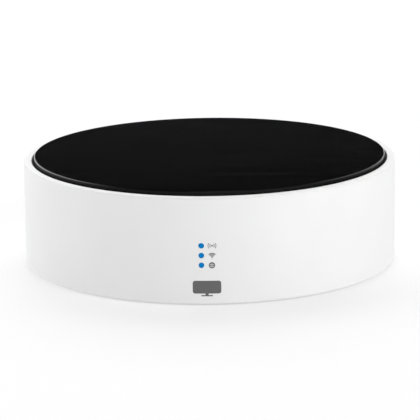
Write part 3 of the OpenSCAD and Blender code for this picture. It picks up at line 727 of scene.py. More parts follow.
fan_base = fan_z - 1.05 * MM
FAN_LINE = 0.44 * MM
fan = [(ring_rows(symbol_u, fan_base + 0.2 * MM, 0, 0.26 * MM), True)]
for r in (0.72 * MM, 1.26 * MM, 1.8 * MM):
    fan.append((ring_rows(
        symbol_u, fan_base + 0.1 * MM, r - FAN_LINE / 2, r + FAN_LINE / 2, 46, 134, 16), False))
symbol_wireless = ink("symbol_wireless", fan)
dress(symbol_wireless, ink_light)

GLOBE_R = 1.12 * MM
globe_u = symbol_u - 0.1 * MM
THIN = 0.17 * MM
EQUATOR = 0.26 * MM
globe = [
    (ring_rows(globe_u, globe_z, GLOBE_R - 0.22 * MM, GLOBE_R + 0.08 * MM), True),
    (oval_rows(globe_u, globe_z, GLOBE_R * 0.52, GLOBE_R - THIN / 2, THIN), True),
    (bar_rows(globe_u - THIN / 2, globe_u + THIN / 2, globe_z - GLOBE_R, globe_z + GLOBE_R, 1), False),
]
for level, line in ((-0.6, THIN), (0, EQUATOR), (0.6, THIN)):
    half = math.sqrt(1 - level * level) * GLOBE_R
    z = globe_z + level * GLOBE_R
    globe.append((bar_rows(globe_u - half, globe_u + half, z - line / 2, z + line / 2), False))
symbol_globe = ink("symbol_globe", globe)
dress(symbol_globe, ink_mid)
print("printed", symbol_broadcast.name, symbol_wireless.name, symbol_globe.name)


# %% [markdown]
# ### The mark below them
# A television screen on a short neck and foot says what the player is for. It is filled, so its
# columns of points follow the rounded corners at both ends.

# %% Screen mark
MARK_HALF = 5.4 * MM
MARK_Z = (5.15 * MM, 10.15 * MM)
CORNER = 0.9 * MM
FOOT_Z = 4.1 * MM


def screen_rows(half, low, high, corner, n=24):
    """A filled rectangle with rounded corners, as columns between its lower and upper edge."""
    bends = [math.radians(90 * i / 6) for i in range(7)]
    left = [-half + corner - corner * math.cos(b) for b in bends]
    flat = [-half + corner + (2 * half - 2 * corner) * i / n for i in range(1, n)]
    us = left + flat + [-u for u in reversed(left)]
    drops = []
    for u in us:
        reach = max(0.0, abs(u) - (half - corner))
        drops.append(corner - math.sqrt(max(0.0, corner * corner - reach * reach)))
    return [[(u, low + d) for u, d in zip(us, drops)], [(u, high - d) for u, d in zip(us, drops)]]


mark = ink("screen_mark", [
    (screen_rows(MARK_HALF, MARK_Z[0], MARK_Z[1], CORNER), False),
    (bar_rows(-0.6 * MM, 0.6 * MM, FOOT_Z + 0.4 * MM, MARK_Z[0] + 0.05 * MM, 2), False),
    (bar_rows(-2.2 * MM, 2.2 * MM, FOOT_Z, FOOT_Z + 0.45 * MM, 8), False),
])
dress(mark, ink_dark)
print("screen mark is", round(2 * MARK_HALF / MM, 1), "mm wide")


# %% [markdown]
# ## Dark plastic
# The carrier under the plate, the base tray and the port panel are one charcoal plastic with a
# coarser tool grain than the shell, so it looks duller. A helper puts a finish on the parts that
# keep the engineering model's shape. It welds the model's loose triangles together and then
# rounds their edges a little, because no moulded or stamped edge is truly sharp.

# %% Finish a part as it stands
LOOSE_POINT = 0.0005 * MM


def cover(names, material, rounding=0.0):
    """Puts a material on parts of the engineering model and softens their edges."""
    for name in names:
        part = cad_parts[name]
        part.data.materials.clear()
        part.data.materials.append(material)
        step = part.modifiers.new("weld", "WELD")
        step.merge_threshold = LOOSE_POINT
        if rounding:
            soften(part, rounding)
        crisp(part)
    print("finished", ", ".join(names), "in", material.name)


# %% [markdown]
# ### One recipe for moulded plastics
# Every moulding has broad faint patches of colour, a gloss that drifts, and a bumped grain from
# its tool. A function holds that recipe, so that each plastic differs only in its numbers.

# %% Dark plastic
def moulded(name, dark, light, rough, grain=2600, depth=0.02 * MM):
    """A moulded plastic: near colours in broad patches, and a bumped tool grain."""
    middle = tuple((a + b) / 2 for a, b in zip(dark, light))
    made = finish(name, middle, rough)
    vary_colour(made, noise(made, 90, 3), dark, light)
    vary_roughness(made, noise(made, 700, 2), rough - 0.06, rough + 0.08)
    bump(made, noise(made, grain, 3), depth, 0.6)
    return made


dark_plastic = moulded("dark_plastic", (0.014, 0.015, 0.017), (0.019, 0.02, 0.022), 0.55)
cover(["top_carrier"], dark_plastic, 0.2 * MM)
cover(["base_tray"], dark_plastic, 0.15 * MM)


# %% [markdown]
# ## Other plastics and rubber
# Each takes the same recipe with its own colour, gloss and grain. Sockets are a glossier black,
# the feet a matt soft rubber, connectors ivory, and the aerial's insulator a waxy off-white.

# %% Other plastics and rubber
socket_black = moulded("socket_black", grey(0.012), grey(0.018), 0.35, 3500, 0.006 * MM)
button_black = moulded("button_black", grey(0.02), grey(0.026), 0.4, 3500, 0.008 * MM)
push_pin = moulded("push_pin", grey(0.02), grey(0.03), 0.45, 3000, 0.01 * MM)
ivory = moulded("connector_ivory", (0.66, 0.6, 0.47), (0.72, 0.66, 0.53), 0.4, 3000, 0.008 * MM)
insulator = moulded("insulator", (0.76, 0.74, 0.68), (0.82, 0.8, 0.74), 0.45, 3000, 0.006 * MM)
foot_rubber = moulded("foot_rubber", grey(0.018), grey(0.03), 0.8, 1800, 0.03 * MM)
foam_tape = moulded("foam_tape", (0.66, 0.62, 0.48), (0.76, 0.72, 0.58), 0.85, 1500, 0.06 * MM)
thermal_grey = moulded("thermal_pad", (0.2, 0.27, 0.36), (0.28, 0.35, 0.45), 0.7, 1200, 0.03 * MM)
lead_black = moulded("lead_black", grey(0.015), grey(0.025), 0.38, 3000, 0.006 * MM)
chip_black = moulded("chip_black", grey(0.022), grey(0.034), 0.5, 5000, 0.01 * MM)
ferrite = moulded("ferrite", grey(0.06), grey(0.1), 0.65, 1800, 0.03 * MM)
cover(["top_adhesive"], foam_tape)
cover(["thermal_pad"], thermal_grey, 0.08 * MM)
cover(["antenna_lead_left", "antenna_lead_right"], lead_black)
cover(["memory_chips", "flash_chip", "soc_chip"], chip_black, 0.12 * MM)
cover(["power_inductors"], ferrite, 0.6 * MM)
cover(["heat_sink_pins"], push_pin, 0.3 * MM)
cover(["ribbon_sockets"], ivory, 0.15 * MM)
cover(["power_switch"], socket_black, 0.2 * MM)


# %% [markdown]
# ## Plated and bare metals
# Stamped sheet keeps faint lines from rolling, so its noise is stretched along one axis. Plated
# screws are duller and slightly blotchy. Cast or sheared steel is rougher still.

# %% Metals
def metal(name, colour, rough, stretch=(1, 1, 1), scale=1600, depth=0.003 * MM):
    """A metal with streaks or blotches in its colour, gloss and surface."""
    made = finish(name, colour, rough, 1.0)
    pattern = noise(made, scale, 3, stretch)
    vary_colour(made, pattern, tuple(c * 0.88 for c in colour), tuple(min(1.0, c * 1.08) for c in colour))
    vary_roughness(made, pattern, rough - 0.06, rough + 0.1)
    bump(made, pattern, depth, 0.5)
    return made


ALONG_Y = (1, 0.03, 1)
nickel = metal("nickel", (0.62, 0.6, 0.57), 0.24, ALONG_Y)
turned_nickel = metal("turned_nickel", (0.64, 0.62, 0.58), 0.2)
tin_plate = metal("tin_plate", (0.66, 0.66, 0.67), 0.3, (0.04, 1, 1))
screw_steel = metal("screw_steel", (0.5, 0.51, 0.53), 0.34)
ballast_steel = metal("ballast_steel", (0.4, 0.41, 0.43), 0.45, (0.05, 1, 1), 900, 0.01 * MM)
sink_metal = metal("sink_aluminium", (0.05, 0.053, 0.058), 0.4, ALONG_Y, 1400, 0.01 * MM)
gold = metal("gold", (0.83, 0.57, 0.22), 0.2, ALONG_Y)
cover(["carrier_screws", "base_screws", "board_screws", "button_board_screws"], screw_steel, 0.15 * MM)
cover(["ballast_ring"], ballast_steel, 0.2 * MM)
cover(["heat_sink"], sink_metal, 0.15 * MM)
cover(["tuner_can", "wifi_can"], tin_plate, 0.35 * MM)
cover(["reset_switch"], nickel, 0.2 * MM)


# %% [markdown]
# ## Circuit boards
# Under the green mask run copper tracks, seen as slightly lighter green lines, with small plated
# holes between them. Tracks run in bundles that change direction from area to area, so square
# Voronoi cells choose for each area whether its lines run along X or along Y, or whether it has
# none. The holes come from a second Voronoi pattern, at its cell centres. Real tracks as mesh
# would be thousands of strips that nobody sees, so the material alone carries them.

# %% Board material
AREA_SCALE = 75.0
TRACK_SCALE = 420.0
HOLE_SCALE = 190.0
HOLE_SIZE = 0.07
TRACK_ABOVE = 0.72
ROUTED_SHARE = 0.62
FLOAT_A, FLOAT_B = 2, 3
COLOUR_A, COLOUR_B, COLOUR_OUT = 6, 7, 2


def compare(material, source, output, how, level):
    """1 where a pattern is above or below a level, and 0 elsewhere."""
    made = node(material, "ShaderNodeMath", operation=how)
    made.inputs[1].default_value = level
    link(material, source, output, made, 0)
    return made


def board_material(name, mask, track, hole_colour):
    """Solder mask over bundles of copper tracks, with small plated holes."""
    made = finish(name, mask, 0.32)
    place = node(made, "ShaderNodeTexCoord")
    areas = node(made, "ShaderNodeTexVoronoi", Scale=AREA_SCALE, distance="CHEBYCHEV")
    link(made, place, "Object", areas, "Vector")
    pick = node(made, "ShaderNodeSeparateColor")
    link(made, areas, "Color", pick, 0)
    lines = []
    for direction in ("X", "Y"):
        wave = node(made, "ShaderNodeTexWave", bands_direction=direction, Scale=TRACK_SCALE)
        link(made, place, "Object", wave, "Vector")
        lines.append(wave.outputs["Fac"])
    chosen = node(made, "ShaderNodeMix", data_type="FLOAT")
    link(made, compare(made, pick, 0, "GREATER_THAN", 0.5), 0, chosen, 0)
    made.node_tree.links.new(lines[0], chosen.inputs[FLOAT_A])
    made.node_tree.links.new(lines[1], chosen.inputs[FLOAT_B])
    copper = compare(made, chosen, 0, "GREATER_THAN", TRACK_ABOVE)
    routed = node(made, "ShaderNodeMath", operation="MULTIPLY")
    link(made, copper, 0, routed, 0)
    link(made, compare(made, pick, 1, "LESS_THAN", ROUTED_SHARE), 0, routed, 1)
    holes = node(made, "ShaderNodeTexVoronoi", Scale=HOLE_SCALE)
    link(made, place, "Object", holes, "Vector")
    painted = node(made, "ShaderNodeMix", data_type="RGBA")
    link(made, routed, 0, painted, 0)
    painted.inputs[COLOUR_A].default_value = (*mask, 1)
    painted.inputs[COLOUR_B].default_value = (*track, 1)
    plated = node(made, "ShaderNodeMix", data_type="RGBA")
    link(made, compare(made, holes, "Distance", "LESS_THAN", HOLE_SIZE), 0, plated, 0)
    link(made, painted, COLOUR_OUT, plated, COLOUR_A)
    plated.inputs[COLOUR_B].default_value = (*hole_colour, 1)
    link(made, plated, COLOUR_OUT, shader_of(made), "Base Color")
    vary_roughness(made, noise(made, 500, 3), 0.26, 0.42)
    bump(made, routed, 0.03 * MM, 0.5)
    return made


print("tracks", round(math.pi / 10 / TRACK_SCALE / MM, 2), "mm apart")


# %% [markdown]
# ### The boards
# The main board, the light board, the button board and the two antennas share one green. The
# wireless module comes from another maker, so it is blue.

# %% Boards
GREEN = (0.008, 0.075, 0.03)
TRACK_GREEN = (0.02, 0.16, 0.07)
PLATED = (0.6, 0.45, 0.2)
board_green = board_material("board_green", GREEN, TRACK_GREEN, PLATED)
board_blue = board_material("board_blue", (0.006, 0.03, 0.09), (0.02, 0.08, 0.2), PLATED)
cover(["main_board", "led_board", "button_board"], board_green, 0.1 * MM)
cover(["wifi_antenna_left", "wifi_antenna_right"], board_green)
cover(["wifi_module"], board_blue, 0.08 * MM)


# %% [markdown]
# ## Lamps and ribbons
# The lamps are clear resin over a pale package. A ribbon cable shows its separate wires, so a
# wave pattern across its width sinks the seams between them and paints shade into them.

# %% Lamps and ribbons
lamp_resin = finish("led_lens", (0.8, 0.85, 0.9), 0.2, IOR=1.5)
vary_colour(lamp_resin, noise(lamp_resin, 800, 2), (0.74, 0.8, 0.86), (0.86, 0.9, 0.94))
vary_roughness(lamp_resin, noise(lamp_resin, 1500, 2), 0.15, 0.3)
cover(["led_1", "led_2", "led_3"], lamp_resin, 0.3 * MM)

ribbon_white = finish("ribbon", (0.66, 0.67, 0.69), 0.5)
seams_at = node(ribbon_white, "ShaderNodeTexCoord")
seams = node(ribbon_white, "ShaderNodeTexWave", wave_type="BANDS", bands_direction="X", Scale=320.0)
link(ribbon_white, seams_at, "Object", seams, "Vector")
# painted shade: the colour darkens in the grooves between the wires, where shade falls
vary_colour(ribbon_white, seams, (0.45, 0.46, 0.48), (0.7, 0.71, 0.73), 0.05, 0.4)
vary_roughness(ribbon_white, seams, 0.55, 0.42)
bump(ribbon_white, seams, 0.08 * MM, 0.7)
cover(["led_ribbon", "button_ribbon"], ribbon_white)


# %% [markdown]
# ## Capacitors
# An electrolytic capacitor is an aluminium can in a printed sleeve: a groove is rolled in near
# the bottom to grip the seal, and the sleeve leaves the scored top bare. One outline is spun for
# each, and the top face takes the bare metal.

# %% Capacitors
CAP_R = 3.15 * MM
CAP_BARE = 0.35 * MM
CAP_PLACES = ((31, 38), (-44, 5), (-33, -9), (-31, -19))
cap_lo, cap_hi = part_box("capacitors")
cap_outline = [(0, cap_lo.z), (CAP_R - 0.3 * MM, cap_lo.z), (CAP_R, cap_lo.z + 0.3 * MM)]
cap_outline += [(CAP_R, cap_lo.z + 1.1 * MM), (CAP_R - 0.35 * MM, cap_lo.z + 1.5 * MM)]
cap_outline += [(CAP_R, cap_lo.z + 1.9 * MM)]
cap_outline += arc(CAP_R - 0.4 * MM, cap_hi.z - 0.4 * MM, 0.4 * MM, 0, 90, 5)
cap_outline += [(CAP_R - 0.8 * MM, cap_hi.z), (CAP_R - 0.8 * MM, cap_hi.z - 0.15 * MM)]
cap_outline += [(0, cap_hi.z - 0.15 * MM)]
cans = [
    lathe("can", cap_outline, 40, place=Matrix.Translation((x * MM, y * MM, 0)))
    for x, y in CAP_PLACES]
scores = []
for x, y in CAP_PLACES:
    for wide, deep in ((1.9, 0.15), (0.15, 1.9)):
        scores.append(box_mesh(
            "score", ((x - wide) * MM, (y - deep) * MM, cap_hi.z - 0.3 * MM),
            ((x + wide) * MM, (y + deep) * MM, cap_hi.z + OVER)))
capacitor_cans = combine(merge("capacitor_cans", cans), scores)
cap_sleeve = moulded("capacitor_sleeve", (0.012, 0.016, 0.05), (0.02, 0.026, 0.075), 0.35, 2500, 0.01 * MM)
bare_can = metal("capacitor_top", (0.7, 0.7, 0.71), 0.32)
dress(capacitor_cans, [cap_sleeve, bare_can], stands_for=["capacitors"])
for face in capacitor_cans.data.polygons:
    if face.center.z > cap_hi.z - CAP_BARE and abs(face.normal.z) > 0.9:
        face.material_index = 1
print("built", len(CAP_PLACES), "capacitors")


# %% [markdown]
# ## Feet
# Four rubber feet are moulded discs with a rounded lower edge. A shallow dish and a ring are sunk
# in the sole, so that the foot grips and doesn't stick to a polished shelf. The rings are in the
# spun outline and not in a bump, because a foot is looked at from very near.

# %% Feet
FOOT_R = 6 * MM
FOOT_EDGE = 0.4 * MM
RING_DEEP = 0.25 * MM
for i in range(1, 5):
    foot_lo, foot_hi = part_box(f"foot_{i}")
    groove_z = foot_lo.z + RING_DEEP
    sole = [(0, groove_z), (2.0 * MM, groove_z), (2.2 * MM, foot_lo.z), (3.4 * MM, foot_lo.z)]
    sole += [(3.55 * MM, groove_z), (4.1 * MM, groove_z), (4.25 * MM, foot_lo.z)]
    sole += arc(FOOT_R - FOOT_EDGE, foot_lo.z + FOOT_EDGE, FOOT_EDGE, -90, 0, 6)
    sole += [(FOOT_R, foot_hi.z), (0, foot_hi.z)]
    middle = (foot_lo + foot_hi) / 2
    foot = lathe(f"rubber_foot_{i}", sole, 72, place=Matrix.Translation((middle.x, middle.y, 0)))
    dress(foot, foot_rubber, stands_for=[f"foot_{i}"])
    print("foot", i, "at", round(middle.x / MM, 1), round(middle.y / MM, 1))


# %% [markdown]
# ## Port panel
# The tub that holds the sockets is drawn again with small radii on its inner corners, as a
# mould needs, so the mouth in the wall and the corners round the sockets catch a soft light. A
# rounded frame is cut for each socket.

# %% Rounded outlines in X and Z
def round_box(x0, x1, z0, z1, r, n=5):
    """The outline of a rectangle with rounded corners, as (x, z) points."""
    return (
        arc(x1 - r, z1 - r, r, 0, 90, n) + arc(x0 + r, z1 - r, r, 90, 180, n)
        + arc(x0 + r, z0 + r, r, 180, 270, n) + arc(x1 - r, z0 + r, r, 270, 360, n)
    )


def prism_y(name, outline, y0, y1):
    """A block with an (x, z) outline, drawn from y0 to y1."""
    n = len(outline)
    verts = [(x, y, z) for y in (y0, y1) for x, z in outline]
    faces = [tuple(range(n)), tuple(range(2 * n - 1, n - 1, -1))]
    faces += [(n + i, n + (i + 1) % n, (i + 1) % n, i) for i in range(n)]
    return mesh_object(name, verts, faces)


def bored(name, x, z, r, y0, y1, steps=64):
    """A plain rod along Y, used to drill a round hole."""
    return lathe(name, [(0, y0), (r, y0), (r, y1), (0, y1)], steps, place=along_y(x, z))


print("helpers for shapes that face the rear are ready")


# %% [markdown]
# ### Where things sit in the bay
# Every opening is placed from the part that comes through it.

# %% Places in the bay
def middle_of(name):
    """The middle of a part's box."""
    lo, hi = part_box(name)
    return (lo + hi) / 2


BAY_T = 2 * MM
BAY_FLUSH = 0.2 * MM
PANEL_T = 2.5 * MM
HOLE_GAP = 0.2 * MM
FLANGE_HALF = 45 * MM
WINDOW_LOW = 8.5 * MM
BUTTON_POST_XS = (-22.2 * MM, 7.8 * MM)
POST_R = 2.1 * MM
POST_PILOT_R = 0.9 * MM
JACK_HOLE_R = 4.91 * MM
INLET_HOLE_R = 4.2 * MM
BUTTON_HOLE_R = 3.35 * MM
PIN_HOLE_R = 0.8 * MM
panel_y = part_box("hdmi_shell")[1].y - 0.3 * MM
panel_back = panel_y - PANEL_T
bay_low, bay_high = bay_z
button_mid = middle_of("power_button")
reset_mid = middle_of("reset_plunger")
coax_mid = middle_of("coax_nut")
dc_mid = middle_of("dc_jack_pin")
button_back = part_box("button_board")[1].y
print("socket wall from", round(panel_back / MM, 2), "to", round(panel_y / MM, 2), "mm")


# %% [markdown]
# ### The tub
# The outside of the tub is a rounded block, trimmed by a cylinder so that its mouth follows the
# drum. A flange behind it clamps between the ledge and the tray, and two posts carry the button
# board. The inside is cut last, together with the openings.

# %% Tub
tub_outline = round_box(-bay_half, bay_half, bay_low, bay_high, 0.3 * MM)
tub = prism_y("port_tub", tub_outline, panel_back, BODY_R + OVER)
side_r = BODY_R - BAY_FLUSH
drum_side = lathe("drum_side", [(0, 0), (side_r, 0), (side_r, RIM_Z), (0, RIM_Z)], 360)
combine(tub, [drum_side], "INTERSECT")
flange = box_mesh(
    "flange", (-FLANGE_HALF, panel_back - 2 * MM, TRAY_TOP),
    (FLANGE_HALF, panel_back + 0.01 * MM, LEDGE_UNDER))
posts = [
    bored("post", x, button_mid.z, POST_R, button_back, panel_back + 0.5 * MM, 32)
    for x in BUTTON_POST_XS]
flange_window = box_mesh(
    "flange_window", (-bay_half + BAY_T, panel_back - 3 * MM, WINDOW_LOW),
    (bay_half - BAY_T, panel_back, bay_high - BAY_T))
combine(flange, [flange_window])
combine(tub, [flange, *posts], "UNION")
inside_outline = round_box(
    -bay_half + BAY_T, bay_half - BAY_T, bay_low + BAY_T, bay_high - BAY_T, 1.2 * MM, 8)
inside = prism_y("inside", inside_outline, panel_y, BODY_R + 2 * OVER)
print("tub has", len(tub.data.polygons), "faces before its inside is cut")


# %% [markdown]
# ### Openings for the sockets
# Each opening is its socket's own outline, grown by an even gap.

# %% Openings for the sockets
def video_outline(grow):
    """The outline of the video socket: a flat top and a tapered bottom."""
    lo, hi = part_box("hdmi_shell")
    w = (hi.x - lo.x) / 2 + grow
    x = (hi.x + lo.x) / 2
    low = lo.z - grow
    knee = lo.z + 2.1 * MM - grow * 0.4
    foot = w - 1.9 * MM
    return [
        (x + w, hi.z + grow), (x - w, hi.z + grow), (x - w, knee),
        (x - foot, low), (x + foot, low), (x + w, knee),
    ]


y0 = panel_back - OVER
y1 = panel_y + OVER
frames = [prism_y("video_hole", video_outline(HOLE_GAP), y0, y1)]
for name in ("usb_shell", "ethernet_shell"):
    lo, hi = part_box(name)
    opening = round_box(lo.x - HOLE_GAP, hi.x + HOLE_GAP, lo.z - HOLE_GAP, hi.z + HOLE_GAP, 0.4 * MM)
    frames.append(prism_y("hole", opening, y0, y1))
frames += [
    bored("hole", coax_mid.x, coax_mid.z, JACK_HOLE_R, y0, y1),
    bored("hole", dc_mid.x, dc_mid.z, INLET_HOLE_R, y0, y1),
    bored("hole", button_mid.x, button_mid.z, BUTTON_HOLE_R, y0, y1),
    bored("hole", reset_mid.x, reset_mid.z, PIN_HOLE_R, y0, y1, 32),
]
frames += [
    bored("pilot", x, button_mid.z, POST_PILOT_R, button_back - OVER, button_back + 8 * MM, 24)
    for x in BUTTON_POST_XS]
combine(tub, [inside, *frames])
dress(tub, dark_plastic, stands_for=["port_panel"])
print("port panel has", len(tub.data.polygons), "faces")


# %% [markdown]
# ## Sheet-metal sockets
# Video, data and network sockets are folded from thin plated sheet, so their corners are round
# outside and inside and the mouth's edge is rolled. A solidify modifier could thicken one sheet,
# but its corners would keep one radius. Each is one closed cup instead: an outer loop, a chamfered
# lip, an inner loop with its own radius, and an inner floor.

# %% Cups, rounded outlines and leaf springs
def cup(name, outer, inner, y0, y1, wall, lip=0.12 * MM):
    """A closed cup along Y: its back at y0, its mouth at y1, with a small chamfer on the lip."""
    def shrink(loop, other, t):
        return [(a[0] + (b[0] - a[0]) * t, a[1] + (b[1] - a[1]) * t) for a, b in zip(loop, other)]

    t = lip / wall
    loops = [
        (outer, y0), (outer, y1 - lip), (shrink(outer, inner, t), y1),
        (shrink(outer, inner, 1 - t), y1), (inner, y1 - lip), (inner, y0 + wall),
    ]
    n = len(outer)
    verts = [(x, y, z) for loop, y in loops for x, z in loop]
    faces = [tuple(range(n)), tuple(range(6 * n - 1, 5 * n - 1, -1))]
    for k in range(5):
        a, b = k * n, (k + 1) * n
        faces += [(a + i, a + (i + 1) % n, b + (i + 1) % n, b + i) for i in range(n)]
    return mesh_object(name, verts, faces)


def rounded(points, r, n=4):
    """A closed outline with each of its corners rounded."""
    made = []
    count = len(points)
    for i in range(count):
        a, b, c = Vector(points[i - 1]), Vector(points[i]), Vector(points[(i + 1) % count])
        u = (a - b).normalized()
        v = (c - b).normalized()
        half = u.angle(v) / 2
        back = r / math.tan(half)
        centre = b + (u + v).normalized() * (r / math.sin(half))
        start = b + u * back
        end = b + v * back
        for k in range(n + 1):
            step = (start - centre).lerp(end - centre, k / n).normalized() * r
            made.append(tuple(centre + step))
    return made


def spring(name, x, z, y_mid, width, length, lift, sheet):
    """A leaf spring pressed out of a socket's wall, bowed towards the plug."""
    n = 10
    line = []
    for i in range(n + 1):
        t = i / n
        line.append((y_mid - length / 2 + length * t, z + lift * math.sin(math.pi * t)))
    outline = line + [(y, h - sheet) for y, h in reversed(line)]
    verts = [(x + side * width / 2, y, h) for side in (-1, 1) for y, h in outline]
    m = len(outline)
    faces = [tuple(range(m)), tuple(range(2 * m - 1, m - 1, -1))]
    faces += [(i, (i + 1) % m, m + (i + 1) % m, m + i) for i in range(m)]
    return mesh_object(name, verts, faces)


print("helpers for folded sheet are ready")


# %% [markdown]
# ### Video socket
# Two leaf springs in the roof hold the plug.

# %% Video socket
SHEET = 0.2 * MM
VIDEO_WALL = 0.5 * MM
VIDEO_LEAF = (1.4 * MM, 3.6 * MM)
video_lo, video_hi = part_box("hdmi_shell")
video = cup(
    "video_shell", rounded(video_outline(0), 0.7 * MM), rounded(video_outline(-VIDEO_WALL), 0.3 * MM),
    video_lo.y, video_hi.y, VIDEO_WALL)
video_mid = (video_lo.x + video_hi.x) / 2
leaf_y = video_hi.y - 2.6 * MM
leaves = [video]
for dx in (-3.2, 3.2):
    leaves.append(spring(
        "leaf", video_mid + dx * MM, video_hi.z - VIDEO_WALL, leaf_y, *VIDEO_LEAF, -0.35 * MM, -SHEET))
dress(merge("video_socket_shell", leaves), nickel, stands_for=["hdmi_shell"])
print("video socket is", round((video_hi.x - video_lo.x) / MM, 1), "mm wide")


# %% [markdown]
# ### Data and network sockets
# The data socket has two springs above the plug and two below. The network socket's shell is a
# plain screen, because its springy parts are the contacts.

# %% Data and network sockets
data_lo, data_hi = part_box("usb_shell")
DATA_WALL = 0.4 * MM
DATA_LEAF = (2.0 * MM, 4.6 * MM)
data_shell = cup(
    "data_shell", round_box(data_lo.x, data_hi.x, data_lo.z, data_hi.z, 0.7 * MM),
    round_box(
        data_lo.x + DATA_WALL, data_hi.x - DATA_WALL, data_lo.z + DATA_WALL, data_hi.z - DATA_WALL,
        0.3 * MM),
    data_lo.y, data_hi.y, DATA_WALL)
data_mid = (data_lo.x + data_hi.x) / 2
leaves = [data_shell]
leaf_y = data_hi.y - 3.2 * MM
for dx in (-3 * MM, 3 * MM):
    x = data_mid + dx
    leaves.append(spring(
        "leaf", x, data_lo.z + DATA_WALL, leaf_y, *DATA_LEAF, 0.5 * MM, SHEET))
    leaves.append(spring(
        "leaf", x, data_hi.z - DATA_WALL, leaf_y, *DATA_LEAF, -0.3 * MM, -SHEET))
dress(merge("data_socket_shell", leaves), nickel, stands_for=["usb_shell"])

eth_lo, eth_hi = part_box("ethernet_shell")
ETH_WALL = 0.5 * MM
network = cup(
    "network_socket_shell", round_box(eth_lo.x, eth_hi.x, eth_lo.z, eth_hi.z, 0.5 * MM),
    round_box(eth_lo.x + ETH_WALL, eth_hi.x - ETH_WALL, eth_lo.z + ETH_WALL, eth_hi.z - ETH_WALL, 0.2 * MM),
    eth_lo.y, eth_hi.y, ETH_WALL)
dress(network, nickel, stands_for=["ethernet_shell"])
cover(["ethernet_insert"], socket_black, 0.15 * MM)
print("network socket is", round((eth_hi.x - eth_lo.x) / MM, 1), "mm wide")


# %% [markdown]
# ## Tongues and contacts
# The plug pushes over a plastic tongue that carries gold strips. A strip stands a few
# hundredths of a millimetre proud of the plastic and stops short of its rounded end.

# %% Tongues and contacts
def strips(name, xs, width, z, thick, y0, y1):
    """Gold contact strips, side by side on a tongue."""
    made = []
    for x in xs:
        made.append(box_mesh("strip", (x - width / 2, y0, z), (x + width / 2, y1, z + thick)))
    return merge(name, made)


cover(["hdmi_tongue", "usb_tongue"], socket_black, 0.2 * MM)
CONTACT_PITCH = 1.0 * MM
tongue_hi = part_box("hdmi_tongue")[1]
tongue_low = video_lo.z + 2.6 * MM
tongue_top = video_lo.z + 3.7 * MM
top_row = strips(
    "video_contacts", [video_mid + (i - 4.5) * CONTACT_PITCH for i in range(10)], 0.4 * MM,
    tongue_top - 0.03 * MM, 0.08 * MM, video_lo.y + 3.5 * MM, tongue_hi.y - 0.5 * MM)
low_row = strips(
    "low_row", [video_mid + (i - 4) * CONTACT_PITCH for i in range(9)], 0.4 * MM,
    tongue_low - 0.05 * MM, 0.08 * MM, video_lo.y + 3.5 * MM, tongue_hi.y - 0.5 * MM)
dress(merge("video_contacts", [top_row, low_row]), gold)

data_tongue_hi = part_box("usb_tongue")[1]
data_row = strips(
    "data_contacts", [data_mid + dx * MM for dx in (-3.5, -1.0, 1.0, 3.5)], 1.1 * MM,
    data_lo.z + 3.2 * MM - 0.06 * MM, 0.1 * MM, data_lo.y + 4.5 * MM, data_tongue_hi.y - 0.7 * MM)
dress(data_row, gold)
print("made 19 video contacts and 4 data contacts")


# %% [markdown]
# ### Network contacts
# Eight round wires bend down from the roof of the socket. Each is a tube swept along a short
# line with a smooth bend at its tip.

# %% Network contacts
def wire(name, line, r, sides=10):
    """A round wire swept along points that lie in one upright plane."""
    verts = []
    for i, point in enumerate(line):
        a = Vector(line[max(i - 1, 0)])
        b = Vector(line[min(i + 1, len(line) - 1)])
        heading = (b - a).normalized()
        across = Vector((1, 0, 0))
        up = across.cross(heading)
        for k in range(sides):
            t = 2 * math.pi * k / sides
            verts.append(Vector(point) + across * (r * math.cos(t)) + up * (r * math.sin(t)))
    n = len(line)
    faces = [tuple(range(sides)), tuple(range(n * sides - 1, (n - 1) * sides - 1, -1))]
    for i in range(n - 1):
        for k in range(sides):
            j = (k + 1) % sides
            faces.append((i * sides + k, i * sides + j, (i + 1) * sides + j, (i + 1) * sides + k))
    return mesh_object(name, verts, faces)


WIRE_R = 0.22 * MM
pins_lo, pins_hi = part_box("ethernet_contacts")
pin_pitch = (pins_hi.x - pins_lo.x - 2 * WIRE_R) / 7
pins = []
for i in range(8):
    x = pins_lo.x + WIRE_R + pin_pitch * i
    front = pins_hi.y - WIRE_R
    back = pins_lo.y + WIRE_R
    roof = pins_hi.z - WIRE_R
    low = pins_lo.z + WIRE_R
    line = [(x, front, roof)]
    for k in range(1, 13):
        t = k / 12
        line.append((x, front + (back - front) * t, roof + (low - roof) * t ** 1.6))
    pins.append(wire("pin", line, WIRE_R))
print("bent", len(pins), "network contacts")
dress(merge("network_contacts", pins), gold, stands_for=["ethernet_contacts"])


# %% [markdown]
# ## Aerial jack
# The threaded jack is turned from brass and nickel plated. Its thread is a real helix: the
# radius at every point of a fine grid comes from how far that point is along the thread's pitch,
# and it fades out at both ends as a cutting tool runs out.

# %% Aerial jack
THREAD_PITCH = 0.794 * MM
THREAD_DEEP = 0.45 * MM
jack_lo, jack_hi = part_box("coax_jack")
coax_x = coax_mid.x
coax_z = coax_mid.z
thread_y0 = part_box("coax_nut")[1].y
thread_y1 = jack_hi.y - 0.5 * MM
COAX_R = 4.76 * MM
NECK_R = 4.4 * MM
BORE_R = 3.3 * MM
JACK_BLOCK = 13 * MM
bore_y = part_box("coax_insulator")[0].y


def thread_r(turn, y):
    """Radius of the thread at a part of a turn and at a height along it."""
    phase = ((y - thread_y0) / THREAD_PITCH - turn) % 1.0
    ridge = min(1.0, 1.5 * (1 - abs(2 * phase - 1)))
    run_in = min(1.0, (y - thread_y0) / THREAD_PITCH, (thread_y1 - y) / THREAD_PITCH)
    return COAX_R - THREAD_DEEP * (1 - ridge) * max(0.0, run_in)


